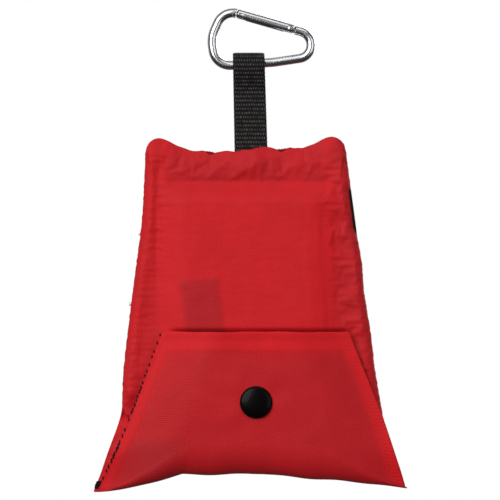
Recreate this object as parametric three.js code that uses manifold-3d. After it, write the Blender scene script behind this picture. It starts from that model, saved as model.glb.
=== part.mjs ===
// A flat snap-flap pouch that hangs from a small carabiner by a webbing loop, with a folded bag inside.
// Millimetres. +X is to the right as seen from the front, +Z is up and the front faces -Y.
// The origin is the carabiner's inner top, where a ring or a rail would carry it.
import * as THREE from "three";
import { mergeVertices } from "three/addons/utils/BufferGeometryUtils.js";
import Module from "manifold-3d";

const wasm = await Module();
wasm.setup();

// ---------- driving dimensions ----------

const GAP = 0.3; // between pieces that touch

// carabiner
const ROD_R = 2.1;
const SPINE_Z = -20.5; // the straight stretch that the strap hangs on
const GATE_PIVOT = new THREE.Vector3(27.3, 0, -3.9);
const GATE_TILT = THREE.MathUtils.degToRad(15.84); // the nose end of the gate is the higher
const GATE_R = 2.3;
const GATE_LENGTH = 25;
const GATE_BORE_R = 1.3;
const GATE_BORE_DEPTH = 14;
const NOSE_END = 25.4; // from the pivot to the end of the round rod at the nose
const TONGUE_THICKNESS = 1.8;
const TONGUE_R = 2;
const HINGE_SLOT = TONGUE_THICKNESS + 2 * GAP;
const HOOK_THICKNESS = 1.5;
const NOSE_SLOT = HOOK_THICKNESS + 2 * GAP;
const LATCH_PIN_AT = 23.3; // from the pivot
const LATCH_PIN_R = 0.55;
const RIVET_R = 0.95;
const RIVET_HOLE_R = RIVET_R + GAP;
const SPRING_TURNS = 7;
const SPRING_LENGTH = 8.5;
const SPRING_START = 7; // from the pivot
const SPRING_R = 0.78; // of the coil's wire centre
const SPRING_WIRE_R = 0.2;

// strap
const STRAP_LEFT = 1.5;
const STRAP_WIDTH = 15.3;
const WEBBING = 1.3; // thickness
const LOOP_R = 5.5; // outside the webbing
const SEAM_Z = -60; // the strap bends here, where it goes into the pouch
const TAILS_TOP = -62;
const TAILS_BOTTOM = -69;

// pouch
const EDGE_INSIDE = 1.7; // half of the gap between the two panels at their edges
const PANEL = 0.7; // cloth thickness
const FRONT_DEPTH = 7.2; // from the strap's plane to the front panel's outside, over the packet
const BACK_DEPTH = 4.3;
const MOUTH_Z = -196; // lower edge of the front panel
const BACK_BOTTOM_Z = -205.6; // clear of the fold as it turns
const MOUTH_HEM = { height: 7, inset: 4, thickness: 0.5 };
const STITCH_R = 0.25;
const STITCH_Z = MOUTH_Z + 6;
const OVERLOCK_R = 1.1; // of the bundle of thread in a seam of the pouch

// packet
const PACKET = { left: -31.9, right: 48, top: -79, bottom: -190, back: 3.3, layers: 6, ply: 1.08 };
const HANDLE = { width: 18, length: 42, thickness: 1.2, x: -9.3, bottom: -161.5 };
const HANDLE_TILT = THREE.MathUtils.degToRad(8); // its top leans to the left

// flap
const FOLD_Z = -210; // axis of the bottom fold
const FOLD_R = 4; // outside the cloth
const FREE_EDGE_Z = -144.5;
const FLAP_LIFT = 3.6; // from the front panel's outside to the flap's inside, over the packet
const FLAP_LIFT_AT_EDGE = 1;
const LINING = 0.5;
const LAYER_GAP = 0.7; // between the lining and the outer cloth
const FLAP_CLOTH = 0.6;
const HEM_HEIGHT = 8.5;
const FLAP_OVERLOCK_R = 0.4;

// snap
const SNAP_X = 11.6;
const SNAP_Z = -176.4;
const CAP_R = 7.5;
const SOCKET_R = 6.2;
const STUD_HEAD_R = 2.3;
const SOCKET_HOLE_R = 3.1;

// ---------- materials ----------

function material(color, roughness, metalness = 0) {
  return new THREE.MeshStandardMaterial({ color, roughness, metalness });
}
const aluminium = material(0xd8dadc, 0.25, 1);
const steel = material(0x9a9c9e, 0.35, 1);
const blackWebbing = material(0x1b1918, 0.9);
const blackThread = material(0x151313, 0.85);
const redCloth = material(0xc9242c, 0.75);
const redLining = material(0xa81e26, 0.8);
const redThread = material(0xb52028, 0.8);
const blackPaint = material(0x0c0606, 0.3);

// ---------- helpers ----------

// A geometry's shape as a solid that can be cut and joined.
function solidOf(geometry) {
  const bare = geometry.clone();
  bare.deleteAttribute("normal");
  bare.deleteAttribute("uv");
  const merged = mergeVertices(bare, 1e-4);
  const mesh = new wasm.Mesh({
    numProp: 3,
    vertProperties: new Float32Array(merged.attributes.position.array),
    triVerts: new Uint32Array(merged.index.array),
  });
  return new wasm.Manifold(mesh);
}

function geometryOf(solid) {
  const mesh = solid.getMesh();
  const geometry = new THREE.BufferGeometry();
  geometry.setAttribute("position", new THREE.BufferAttribute(mesh.vertProperties, 3));
  geometry.setIndex(new THREE.BufferAttribute(mesh.triVerts, 1));
  geometry.computeVertexNormals();
  return geometry;
}

function cut(geometry, ...tools) {
  return geometryOf(tools.reduce((left, tool) => left.subtract(solidOf(tool)), solidOf(geometry)));
}

function join(geometry, ...others) {
  return geometryOf(others.reduce((whole, other) => whole.add(solidOf(other)), solidOf(geometry)));
}

function common(geometry, other) {
  return geometryOf(solidOf(geometry).intersect(solidOf(other)));
}

// An outline in the XZ plane, given thickness along Y.
function plate(shape, thickness, curveSegments = 8) {
  const geometry = new THREE.ExtrudeGeometry(shape, { depth: thickness, bevelEnabled: false, curveSegments });
  geometry.translate(0, 0, -thickness / 2);
  return geometry.rotateX(Math.PI / 2);
}

// An outline in the YZ plane, given width along X from the given left side.
function band(shape, left, width, curveSegments = 8) {
  const geometry = new THREE.ExtrudeGeometry(shape, { depth: width, bevelEnabled: false, curveSegments });
  const turn = new THREE.Matrix4().makeBasis(
    new THREE.Vector3(0, 1, 0),
    new THREE.Vector3(0, 0, 1),
    new THREE.Vector3(1, 0, 0),
  );
  return geometry.applyMatrix4(turn).translate(left, 0, 0);
}

// A round rod or thread along a curve.
function rope(curve, radius, sides, steps) {
  const section = new THREE.Shape();
  section.absarc(0, 0, radius, 0, 2 * Math.PI, false);
  return new THREE.ExtrudeGeometry(section, {
    steps,
    curveSegments: sides / 2, // a whole circle takes twice as many
    extrudePath: curve,
    bevelEnabled: false,
  });
}

// A round pin along X, from one x to another.
function pinAlongX(from, to, radius, sides = 16) {
  const geometry = new THREE.CylinderGeometry(radius, radius, to - from, sides);
  return geometry.rotateZ(Math.PI / 2).translate((from + to) / 2, 0, 0);
}

// A surface of revolution about the front-to-back axis.
// The second number of a profile's point is the distance in front of the strap's plane.
function turned(profile, sides = 28) {
  const points = profile.map(([radius, front]) => new THREE.Vector2(radius, front));
  return new THREE.LatheGeometry(points, sides).rotateX(Math.PI);
}

function smooth(t) {
  const c = THREE.MathUtils.clamp(t, 0, 1);
  return c * c * (3 - 2 * c);
}

// A sheet with thickness.
// place(u, side, v) gives the point at u across and v up, with side 0 in front and 1 behind.
function sheet(across, up, place) {
  const geometry = new THREE.BoxGeometry(1, 1, 1, across, 1, up);
  const position = geometry.attributes.position;
  for (let i = 0; i < position.count; i += 1) {
    const u = (1 - Math.cos(Math.PI * (position.getX(i) + 0.5))) / 2; // closer columns at both edges
    const side = position.getY(i) + 0.5;
    const point = place(u, side, position.getZ(i) + 0.5);
    position.setXYZ(i, point.x, point.y, point.z);
  }
  geometry.computeVertexNormals();
  return geometry;
}

function addPiece(parent, name, geometry, itsMaterial) {
  const mesh = new THREE.Mesh(geometry, itsMaterial);
  mesh.name = name;
  parent.add(mesh);
  return mesh;
}

// ---------- carabiner ----------

// A flat path in the XZ plane as a space curve.
class UprightCurve extends THREE.Curve {
  constructor(path) {
    super();
    this.path = path;
  }

  getPoint(t, target = new THREE.Vector3()) {
    const flat = this.path.getPointAt(t);
    return target.set(flat.x, 0, flat.y);
  }
}

// Straight runs between corners, each corner rounded to its bend radius.
function bentPath(start, corners, end) {
  const path = new THREE.Path();
  path.moveTo(start.x, start.y);
  corners.forEach(({ at, bend }, i) => {
    const before = (i ? corners[i - 1].at : start).clone().sub(at).normalize();
    const after = (i + 1 < corners.length ? corners[i + 1].at : end).clone().sub(at).normalize();
    const half = Math.acos(before.dot(after)) / 2;
    const reach = bend / Math.tan(half);
    const centre = before.clone().add(after).normalize().multiplyScalar(bend / Math.sin(half)).add(at);
    const enter = before.clone().multiplyScalar(reach).add(at);
    const leave = after.clone().multiplyScalar(reach).add(at);
    const from = enter.clone().sub(centre).angle();
    const to = leave.clone().sub(centre).angle();
    path.lineTo(enter.x, enter.y);
    path.absarc(centre.x, centre.y, bend, from, to, before.cross(after) > 0);
  });
  path.lineTo(end.x, end.y);
  return path;
}

// A point on the gate's line, at a distance from the pivot, in the XZ plane.
function onGateLine(distance) {
  return new THREE.Vector2(
    GATE_PIVOT.x - distance * Math.cos(GATE_TILT),
    GATE_PIVOT.z + distance * Math.sin(GATE_TILT),
  );
}

// Moves a geometry from the gate's own frame, pivot at the origin and nose end along -X, to where it lies.
function alongGate(geometry) {
  return geometry.rotateY(GATE_TILT).translate(GATE_PIVOT.x, GATE_PIVOT.y, GATE_PIVOT.z);
}

function rodGeometry() {
  const corners = [
    { at: new THREE.Vector2(-3.4, 4.8), bend: 6 },
    { at: new THREE.Vector2(-9.4, -8), bend: 14 },
    { at: new THREE.Vector2(-8, SPINE_Z), bend: 5.5 },
    { at: new THREE.Vector2(20.5, SPINE_Z), bend: 20 },
    { at: new THREE.Vector2(37, -16.6), bend: 5.6 },
    { at: new THREE.Vector2(36.4, -6.5), bend: 6.2 },
  ];
  const path = bentPath(onGateLine(NOSE_END), corners, onGateLine(-TONGUE_R - 0.9));
  return rope(new UprightCurve(path), ROD_R, 14, 60);
}

function tongueGeometry() {
  const outline = new THREE.Shape();
  outline.moveTo(TONGUE_R + 2.5, -1.5);
  outline.lineTo(TONGUE_R + 2.5, 1.5);
  outline.lineTo(1.2, TONGUE_R * 0.8);
  outline.absarc(0, 0, TONGUE_R, Math.asin(0.8), 2 * Math.PI - Math.asin(0.8), false);
  return plate(outline, TONGUE_THICKNESS);
}

// A plate that runs over the latch pin and turns inwards behind it.
function hookGeometry() {
  const outside = 1.9;
  const lip = LATCH_PIN_AT - LATCH_PIN_R - 0.4;
  const mouth = LATCH_PIN_AT + LATCH_PIN_R + 0.4;
  const outline = new THREE.Shape();
  outline.moveTo(-NOSE_END - 1.5, outside);
  outline.lineTo(-NOSE_END - 1.5, -1.4);
  outline.lineTo(-mouth - 0.3, -1.4);
  outline.lineTo(-mouth, LATCH_PIN_R + 0.35);
  outline.lineTo(-lip, LATCH_PIN_R + 0.35);
  outline.lineTo(-lip, -0.7);
  outline.lineTo(-lip + 1, -0.7);
  outline.lineTo(-lip + 1.2, outside - 0.5);
  outline.lineTo(-lip + 0.7, outside);
  return plate(outline, HOOK_THICKNESS);
}

function rivetGeometry() {
  const head = GATE_R + GAP;
  const profile = [
    [0, -head - 0.5],
    [0.9, -head - 0.4],
    [1.5, -head],
    [RIVET_R, -head],
    [RIVET_R, head],
    [1.5, head],
    [0.9, head + 0.4],
    [0, head + 0.5],
  ];
  return turned(profile, 16).translate(GATE_PIVOT.x, 0, GATE_PIVOT.z);
}

function makeCarabiner() {
  const carabiner = new THREE.Group();
  const rivetHole = new THREE.CylinderGeometry(RIVET_HOLE_R, RIVET_HOLE_R, 4 * GATE_R, 16);
  const tongue = alongGate(cut(tongueGeometry(), rivetHole));
  const body = join(rodGeometry(), tongue, alongGate(hookGeometry()));
  addPiece(carabiner, "carabiner_body", body, aluminium);
  addPiece(carabiner, "gate_rivet", rivetGeometry(), steel);
  return carabiner;
}

// ---------- gate ----------

function gateBarrelGeometry() {
  const outline = new THREE.Shape();
  outline.moveTo(-GATE_LENGTH, GATE_R);
  outline.lineTo(-GATE_LENGTH, -GATE_R);
  outline.lineTo(0, -GATE_R);
  outline.absarc(0, 0, GATE_R, -Math.PI / 2, Math.PI / 2, false);
  const bar = pinAlongX(-GATE_LENGTH, GATE_R, GATE_R, 20);
  const rounded = common(bar, plate(outline, 3 * GATE_R));
  const hingeSlot = new THREE.BoxGeometry(5.4, HINGE_SLOT, 3 * GATE_R).translate(0.2, 0, 0);
  const noseSlot = new THREE.BoxGeometry(5, NOSE_SLOT, 3 * GATE_R).translate(-GATE_LENGTH + 2, 0, 0);
  const bore = pinAlongX(-2 - GATE_BORE_DEPTH, 0, GATE_BORE_R, 14);
  const rivetHole = new THREE.CylinderGeometry(RIVET_HOLE_R, RIVET_HOLE_R, 4 * GATE_R, 16);
  const pinHole = new THREE.CylinderGeometry(LATCH_PIN_R + 0.1, LATCH_PIN_R + 0.1, 8, 12);
  return cut(rounded, hingeSlot, noseSlot, bore, rivetHole, pinHole.translate(-LATCH_PIN_AT, 0, 0));
}

function springGeometry() {
  class Coil extends THREE.Curve {
    getPoint(t, target = new THREE.Vector3()) {
      const angle = 2 * Math.PI * SPRING_TURNS * t;
      const along = -SPRING_START - SPRING_LENGTH * t;
      return target.set(along, SPRING_R * Math.cos(angle), SPRING_R * Math.sin(angle));
    }
  }
  return rope(new Coil(), SPRING_WIRE_R, 6, SPRING_TURNS * 8);
}

function plungerGeometry() {
  const tip = TONGUE_R + GAP;
  const profile = [
    [0, tip],
    [0.55, tip + 0.15],
    [0.9, tip + 0.7],
    [0.9, tip + 2.6],
    [0.45, tip + 2.6],
    [0.45, tip + 4],
    [0, tip + 4],
  ];
  const points = profile.map(([radius, along]) => new THREE.Vector2(radius, along));
  return new THREE.LatheGeometry(points, 14).rotateZ(Math.PI / 2);
}

function makeGate() {
  const gate = new THREE.Group();
  gate.position.copy(GATE_PIVOT);
  gate.rotation.y = GATE_TILT;
  addPiece(gate, "gate_barrel", gateBarrelGeometry(), aluminium);
  const pinLength = 2 * GATE_R - 0.2;
  const latchPin = new THREE.CylinderGeometry(LATCH_PIN_R, LATCH_PIN_R, pinLength, 12);
  addPiece(gate, "gate_latch_pin", latchPin, steel).position.x = -LATCH_PIN_AT;
  addPiece(gate, "gate_spring", springGeometry(), steel);
  addPiece(gate, "gate_plunger", plungerGeometry(), steel);
  return gate;
}

// ---------- strap ----------

// Half of the loop's side view, from the seam up to the height of the carabiner's spine.
function loopSide(path, half, reach, sign, upwards) {
  const meet = SPINE_Z - 14; // the two layers lie together below this
  if (upwards) {
    path.lineTo(sign * half, meet);
    path.bezierCurveTo(sign * half, meet + 6, sign * reach, SPINE_Z - 6, sign * reach, SPINE_Z);
  } else {
    path.bezierCurveTo(sign * reach, SPINE_Z - 6, sign * half, meet + 6, sign * half, meet);
  }
}

function strapGeometry() {
  const outerHalf = WEBBING + GAP / 2;
  const innerHalf = GAP / 2;
  const innerR = LOOP_R - WEBBING;
  const side = new THREE.Shape();
  side.moveTo(outerHalf, SEAM_Z);
  loopSide(side, outerHalf, LOOP_R, 1, true);
  side.absarc(0, SPINE_Z, LOOP_R, 0, Math.PI, false);
  loopSide(side, outerHalf, LOOP_R, -1, false);
  side.lineTo(-outerHalf, SEAM_Z);
  side.absarc(0, SEAM_Z, outerHalf, Math.PI, 2 * Math.PI, false);
  const between = new THREE.Path();
  between.moveTo(innerHalf, SEAM_Z + 1);
  loopSide(between, innerHalf, innerR, 1, true);
  between.absarc(0, SPINE_Z, innerR, 0, Math.PI, false);
  loopSide(between, innerHalf, innerR, -1, false);
  between.lineTo(-innerHalf, SEAM_Z + 1);
  side.holes.push(between);
  return band(side, STRAP_LEFT, STRAP_WIDTH, 14);
}

function makeStrap() {
  const strap = new THREE.Group();
  addPiece(strap, "strap_webbing", strapGeometry(), blackWebbing);
  return strap;
}

// ---------- pouch ----------

// The pouch's left and right edges. It widens slowly, and then quickly to the corners of the bottom fold.
const LEFT_EDGE = [
  [-39.3, -60],
  [-41, -93],
  [-45.5, -126],
  [-49.5, -160],
  [-52.5, -187],
  [-60.5, -210],
];
const RIGHT_EDGE = [
  [53, -60],
  [57.5, -93],
  [61.5, -126],
  [66, -160],
  [71, -187],
  [79.5, -210],
];

// x on an edge at a height, along straight runs between its points.
function edgeAt(edge, z) {
  const last = edge.length - 2;
  const above = edge.findIndex(([, nextZ], i) => i > 0 && z >= nextZ) - 1;
  const i = above < 0 ? last : above;
  const [x0, z0] = edge[i];
  const [x1, z1] = edge[i + 1];
  return x0 + ((x1 - x0) * (z - z0)) / (z1 - z0);
}

// How far the cloth is pushed out at a place: 1 over the packet, 0 at the pouch's edges.
function fullness(x, z) {
  const margin = 1.5;
  const left = edgeAt(LEFT_EDGE, z);
  const right = edgeAt(RIGHT_EDGE, z);
  const fromLeft = (x - left) / (PACKET.left - margin - left);
  const fromRight = (right - x) / (right - PACKET.right - margin);
  const fromTop = (SEAM_Z - 1 - z) / (SEAM_Z - 1 - PACKET.top - margin);
  return smooth(fromLeft) * smooth(fromRight) * smooth(fromTop);
}

// Distance in front of the strap's plane of the front panel's outside.
function frontAt(x, z) {
  const edge = EDGE_INSIDE + PANEL;
  return edge + (FRONT_DEPTH - edge) * fullness(x, z);
}

// The top edge is higher at both corners, and falls away round them.
function topAt(u) {
  const ear = 5 * (Math.exp(-(((u - 0.08) / 0.05) ** 2)) + Math.exp(-(((u - 0.92) / 0.05) ** 2)));
  const corner = 7 * ((1 - smooth(u / 0.06)) + (1 - smooth((1 - u) / 0.06)));
  return SEAM_Z - 1.9 + ear - corner;
}

// A point of the pouch's outline, u across and v up from the given bottom.
function onPouch(u, v, bottom) {
  const z = THREE.MathUtils.lerp(bottom, topAt(u), v);
  const x = THREE.MathUtils.lerp(edgeAt(LEFT_EDGE, z), edgeAt(RIGHT_EDGE, z), u);
  return { x, z };
}

function frontPanelGeometry() {
  const panel = sheet(16, 18, (u, side, v) => {
    const { x, z } = onPouch(u, v, MOUTH_Z);
    return new THREE.Vector3(x, -frontAt(x, z) + side * PANEL, z);
  });
  return cut(panel, snapHole(1.5));
}

function backPanelGeometry() {
  const edge = EDGE_INSIDE + PANEL;
  return sheet(16, 18, (u, side, v) => {
    const { x, z } = onPouch(u, v, BACK_BOTTOM_Z);
    const outside = edge + (BACK_DEPTH - edge) * fullness(x, z);
    return new THREE.Vector3(x, outside - (1 - side) * PANEL, z);
  });
}

// A hole through the cloth for the snap's rivets.
function snapHole(radius) {
  return new THREE.CylinderGeometry(radius, radius, 60, 14).translate(SNAP_X, 0, SNAP_Z);
}

// The thread along a side, between the panels' edges.
function sideSeamGeometry(edge, inwards) {
  const heights = [-68, -93, -126, -160, -187, -198];
  const points = heights.map((z) => new THREE.Vector3(edgeAt(edge, z) + inwards, 0, z));
  return rope(new THREE.CatmullRomCurve3(points), OVERLOCK_R, 8, 14);
}

function topSeamGeometry() {
  const z = TAILS_BOTTOM - 1.6;
  const points = [-34, -10, 20, 47].map((x) => new THREE.Vector3(x, 0, z));
  return rope(new THREE.CatmullRomCurve3(points), OVERLOCK_R, 8, 3);
}

function tailsGeometry() {
  const thickness = 2 * WEBBING + GAP;
  const height = TAILS_TOP - TAILS_BOTTOM;
  const slab = new THREE.BoxGeometry(STRAP_WIDTH, thickness, height, 1, 1, 1);
  return slab.translate(STRAP_LEFT + STRAP_WIDTH / 2, 0, (TAILS_TOP + TAILS_BOTTOM) / 2);
}

function mouthHemGeometry() {
  const { height, inset, thickness } = MOUTH_HEM;
  return sheet(14, 2, (u, side, v) => {
    const z = MOUTH_Z + 0.5 + height * v;
    const left = edgeAt(LEFT_EDGE, z) + inset;
    const x = THREE.MathUtils.lerp(left, edgeAt(RIGHT_EDGE, z) - inset, u);
    const front = frontAt(x, z) - PANEL - GAP;
    return new THREE.Vector3(x, -front + side * thickness, z);
  });
}

function mouthStitchGeometry() {
  const count = 16;
  const left = edgeAt(LEFT_EDGE, STITCH_Z) + 6;
  const right = edgeAt(RIGHT_EDGE, STITCH_Z) - 6;
  const points = Array.from({ length: count + 1 }, (_, i) => {
    const x = THREE.MathUtils.lerp(left, right, i / count);
    return new THREE.Vector3(x, -frontAt(x, STITCH_Z) - STITCH_R - GAP, STITCH_Z);
  });
  return rope(new THREE.CatmullRomCurve3(points), STITCH_R, 6, 30);
}

// A strip folded to and fro into layers, seen from above.
function pleatedShape({ left, right, back, layers, ply }) {
  const pitch = ply + GAP;
  const outer = pitch / 2 + ply / 2;
  const inner = pitch / 2 - ply / 2;
  const middle = (k) => back - ply / 2 - k * pitch;
  const from = left + outer;
  const to = right - outer;
  const shape = new THREE.Shape();
  shape.moveTo(from, middle(0) + ply / 2);
  for (let k = 0; k < layers - 1; k += 1) {
    const turn = middle(k) - pitch / 2;
    if (k % 2 === 0) shape.absarc(to, turn, outer, Math.PI / 2, -Math.PI / 2, true);
    else shape.absarc(from, turn, inner, Math.PI / 2, -Math.PI / 2, false);
  }
  const last = middle(layers - 1);
  const endsRight = layers % 2 === 1;
  const end = endsRight ? to : from;
  const firstSide = endsRight ? ply / 2 : -ply / 2;
  shape.lineTo(end, last + firstSide);
  shape.lineTo(end, last - firstSide);
  for (let k = layers - 2; k >= 0; k -= 1) {
    const turn = middle(k) - pitch / 2;
    if (k % 2 === 0) shape.absarc(to, turn, inner, -Math.PI / 2, Math.PI / 2, false);
    else shape.absarc(from, turn, outer, -Math.PI / 2, Math.PI / 2, true);
  }
  shape.lineTo(from, middle(0) - ply / 2);
  return shape;
}

function packetGeometry() {
  const height = PACKET.top - PACKET.bottom;
  const geometry = new THREE.ExtrudeGeometry(pleatedShape(PACKET), {
    depth: height,
    bevelEnabled: false,
    curveSegments: 6,
  });
  return geometry.translate(0, 0, PACKET.bottom);
}

const PACKET_FRONT = PACKET.layers * (PACKET.ply + GAP) - GAP - PACKET.back;

function handleGeometry() {
  const { width, length, thickness, x, bottom } = HANDLE;
  const strip = new THREE.BoxGeometry(width, thickness, length).translate(0, 0, length / 2);
  const front = PACKET_FRONT + GAP + thickness / 2;
  return strip.rotateY(-HANDLE_TILT).translate(x, -front, bottom);
}

function makePouch() {
  const pouch = new THREE.Group();
  addPiece(pouch, "strap_tails", tailsGeometry(), blackWebbing);
  addPiece(pouch, "back_panel", backPanelGeometry(), redCloth);
  addPiece(pouch, "front_panel", frontPanelGeometry(), redCloth);
  addPiece(pouch, "side_seam_left", sideSeamGeometry(LEFT_EDGE, 1.4), blackThread);
  addPiece(pouch, "side_seam_right", sideSeamGeometry(RIGHT_EDGE, -1.4), blackThread);
  addPiece(pouch, "top_seam", topSeamGeometry(), blackThread);
  addPiece(pouch, "mouth_hem", mouthHemGeometry(), redCloth);
  addPiece(pouch, "mouth_hem_stitch", mouthStitchGeometry(), redThread);
  addPiece(pouch, "folded_bag", packetGeometry(), redLining);
  addPiece(pouch, "bag_handle", handleGeometry(), blackWebbing);
  addPiece(pouch, "snap_stud", studGeometry(), steel);
  addPiece(pouch, "snap_post", postGeometry(), steel);
  return pouch;
}

// ---------- flap ----------

// The flap's left and right edges, from its free edge down to the fold.
const FLAP_LEFT = [
  [-32.4, FREE_EDGE_Z],
  [-48.8, -189],
  [-58.6, FOLD_Z],
];
const FLAP_RIGHT = [
  [54.6, FREE_EDGE_Z],
  [70.8, -185],
  [79, FOLD_Z],
];

// Distance in front of the strap's plane of the flap's outside.
function flapFrontAt(x, z) {
  const lift = THREE.MathUtils.lerp(FLAP_LIFT_AT_EDGE, FLAP_LIFT, fullness(x, z));
  const overFront = frontAt(x, z) + lift + LINING + LAYER_GAP + FLAP_CLOTH;
  return THREE.MathUtils.lerp(FOLD_R, overFront, smooth((z - FOLD_Z) / 17));
}

function flapOuterGeometry() {
  const curlShare = 0.25; // of the rows, from the back of the fold to its front
  const cloth = sheet(16, 24, (u, side, v) => {
    const z = THREE.MathUtils.lerp(FOLD_Z, FREE_EDGE_Z, Math.max(0, (v - curlShare) / (1 - curlShare)));
    const x = THREE.MathUtils.lerp(edgeAt(FLAP_LEFT, z), edgeAt(FLAP_RIGHT, z), u);
    if (v > curlShare) return new THREE.Vector3(x, -flapFrontAt(x, z) + side * FLAP_CLOTH, z);
    const angle = Math.PI * (1 - v / curlShare);
    const radius = FOLD_R - side * FLAP_CLOTH;
    return new THREE.Vector3(x, -radius * Math.cos(angle), FOLD_Z - radius * Math.sin(angle));
  });
  return cut(cloth, snapHole(1.8));
}

// A flat layer behind the flap's outer cloth, between two heights.
function flapLayer(bottom, top, inset, rows) {
  return sheet(16, rows, (u, side, v) => {
    const z = THREE.MathUtils.lerp(bottom, top, v);
    const left = edgeAt(FLAP_LEFT, z) + inset;
    const x = THREE.MathUtils.lerp(left, edgeAt(FLAP_RIGHT, z) - inset, u);
    const front = flapFrontAt(x, z) - FLAP_CLOTH - LAYER_GAP;
    return new THREE.Vector3(x, -front + side * LINING, z);
  });
}

function flapOverlockGeometry() {
  const count = 12;
  const points = Array.from({ length: count + 1 }, (_, i) => {
    const z = THREE.MathUtils.lerp(FREE_EDGE_Z - 2, FOLD_Z + 2, i / count);
    const x = edgeAt(FLAP_LEFT, z) + 1.4;
    return new THREE.Vector3(x, -flapFrontAt(x, z) - 0.8, z);
  });
  return rope(new THREE.CatmullRomCurve3(points), FLAP_OVERLOCK_R, 6, 24);
}

// ---------- snap ----------

const SNAP_FRONT = frontAt(SNAP_X, SNAP_Z); // the front panel's outside
const SNAP_LINING = SNAP_FRONT + FLAP_LIFT; // the flap's inside
const SNAP_FLAP = flapFrontAt(SNAP_X, SNAP_Z); // the flap's outside

function atSnap(profile) {
  return turned(profile).translate(SNAP_X, 0, SNAP_Z);
}

// A dome on a post that goes through the flap into the socket.
function capGeometry() {
  const under = SNAP_FLAP + GAP;
  const bottom = SNAP_LINING - 0.9;
  return atSnap([
    [0, bottom],
    [1.4, bottom],
    [1.4, under],
    [CAP_R - 0.4, under],
    [CAP_R, under + 0.4],
    [CAP_R - 0.3, under + 0.9],
    [CAP_R - 1.6, under + 1.4],
    [CAP_R / 2, under + 1.85],
    [0, under + 2],
  ]);
}

const STUD_BASE = SNAP_FRONT + GAP;

// A hollow stud with a waist below its head.
function studGeometry() {
  return atSnap([
    [1.4, STUD_BASE],
    [5.8, STUD_BASE],
    [6, STUD_BASE + 0.3],
    [5.6, STUD_BASE + 0.8],
    [STUD_HEAD_R - 0.4, STUD_BASE + 0.9],
    [STUD_HEAD_R - 0.4, STUD_BASE + 1.2],
    [STUD_HEAD_R, STUD_BASE + 1.6],
    [STUD_HEAD_R - 0.2, STUD_BASE + 2.1],
    [1.4, STUD_BASE + 2.2],
    [1.4, STUD_BASE],
  ]);
}

function postGeometry() {
  const face = SNAP_FRONT - PANEL - GAP;
  return atSnap([
    [0, face - 0.45],
    [4.4, face - 0.45],
    [4.6, face - 0.2],
    [4.4, face],
    [1.1, face],
    [1.1, STUD_BASE + 1.6],
    [0, STUD_BASE + 1.8],
  ]);
}

// A ring that takes the stud's head, with a groove for its spring.
function socketGeometry() {
  const near = STUD_BASE + 0.9 + GAP;
  const far = SNAP_LINING - GAP;
  const grooveR = SOCKET_HOLE_R + 0.9;
  return atSnap([
    [SOCKET_HOLE_R, near],
    [SOCKET_R - 0.3, near],
    [SOCKET_R, near + 0.3],
    [SOCKET_R, far - 0.3],
    [SOCKET_R - 0.3, far],
    [SOCKET_HOLE_R, far],
    [SOCKET_HOLE_R, far - 0.3],
    [grooveR, far - 0.4],
    [grooveR, near + 0.4],
    [SOCKET_HOLE_R, near + 0.3],
    [SOCKET_HOLE_R, near],
  ]);
}

function socketSpringGeometry() {
  const middle = (STUD_BASE + 0.9 + GAP + SNAP_LINING - GAP) / 2;
  const ring = new THREE.TorusGeometry(SOCKET_HOLE_R + 0.35, 0.2, 6, 28);
  return ring.rotateX(Math.PI / 2).translate(SNAP_X, -middle, SNAP_Z);
}

function makeFlap() {
  const flap = new THREE.Group();
  const hemBottom = FREE_EDGE_Z - HEM_HEIGHT;
  const lining = cut(flapLayer(FOLD_Z + 4, hemBottom - GAP, 3, 12), snapHole(1.8));
  addPiece(flap, "flap_outer", flapOuterGeometry(), redCloth);
  addPiece(flap, "flap_lining", lining, redLining);
  addPiece(flap, "flap_hem", flapLayer(hemBottom, FREE_EDGE_Z - 0.5, 1.5, 2), redCloth);
  addPiece(flap, "flap_overlock", flapOverlockGeometry(), blackThread);
  addPiece(flap, "snap_cap", capGeometry(), blackPaint);
  addPiece(flap, "snap_socket", socketGeometry(), steel);
  addPiece(flap, "snap_socket_spring", socketSpringGeometry(), steel);
  return flap;
}

const part = new THREE.Group();
part.add(makeCarabiner(), makeGate(), makeStrap(), makePouch(), makeFlap());

export default part;
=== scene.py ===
"""The looks of a flat snap-flap pouch on a carabiner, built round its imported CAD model.

Lengths are millimetres until a mesh is made, which turns them into metres. Depth is the distance in front of
the strap's plane, so a point's y is minus its depth.
"""

import math

import bmesh
import bpy
import numpy as np
from mathutils import Matrix, Vector, noise


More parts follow.
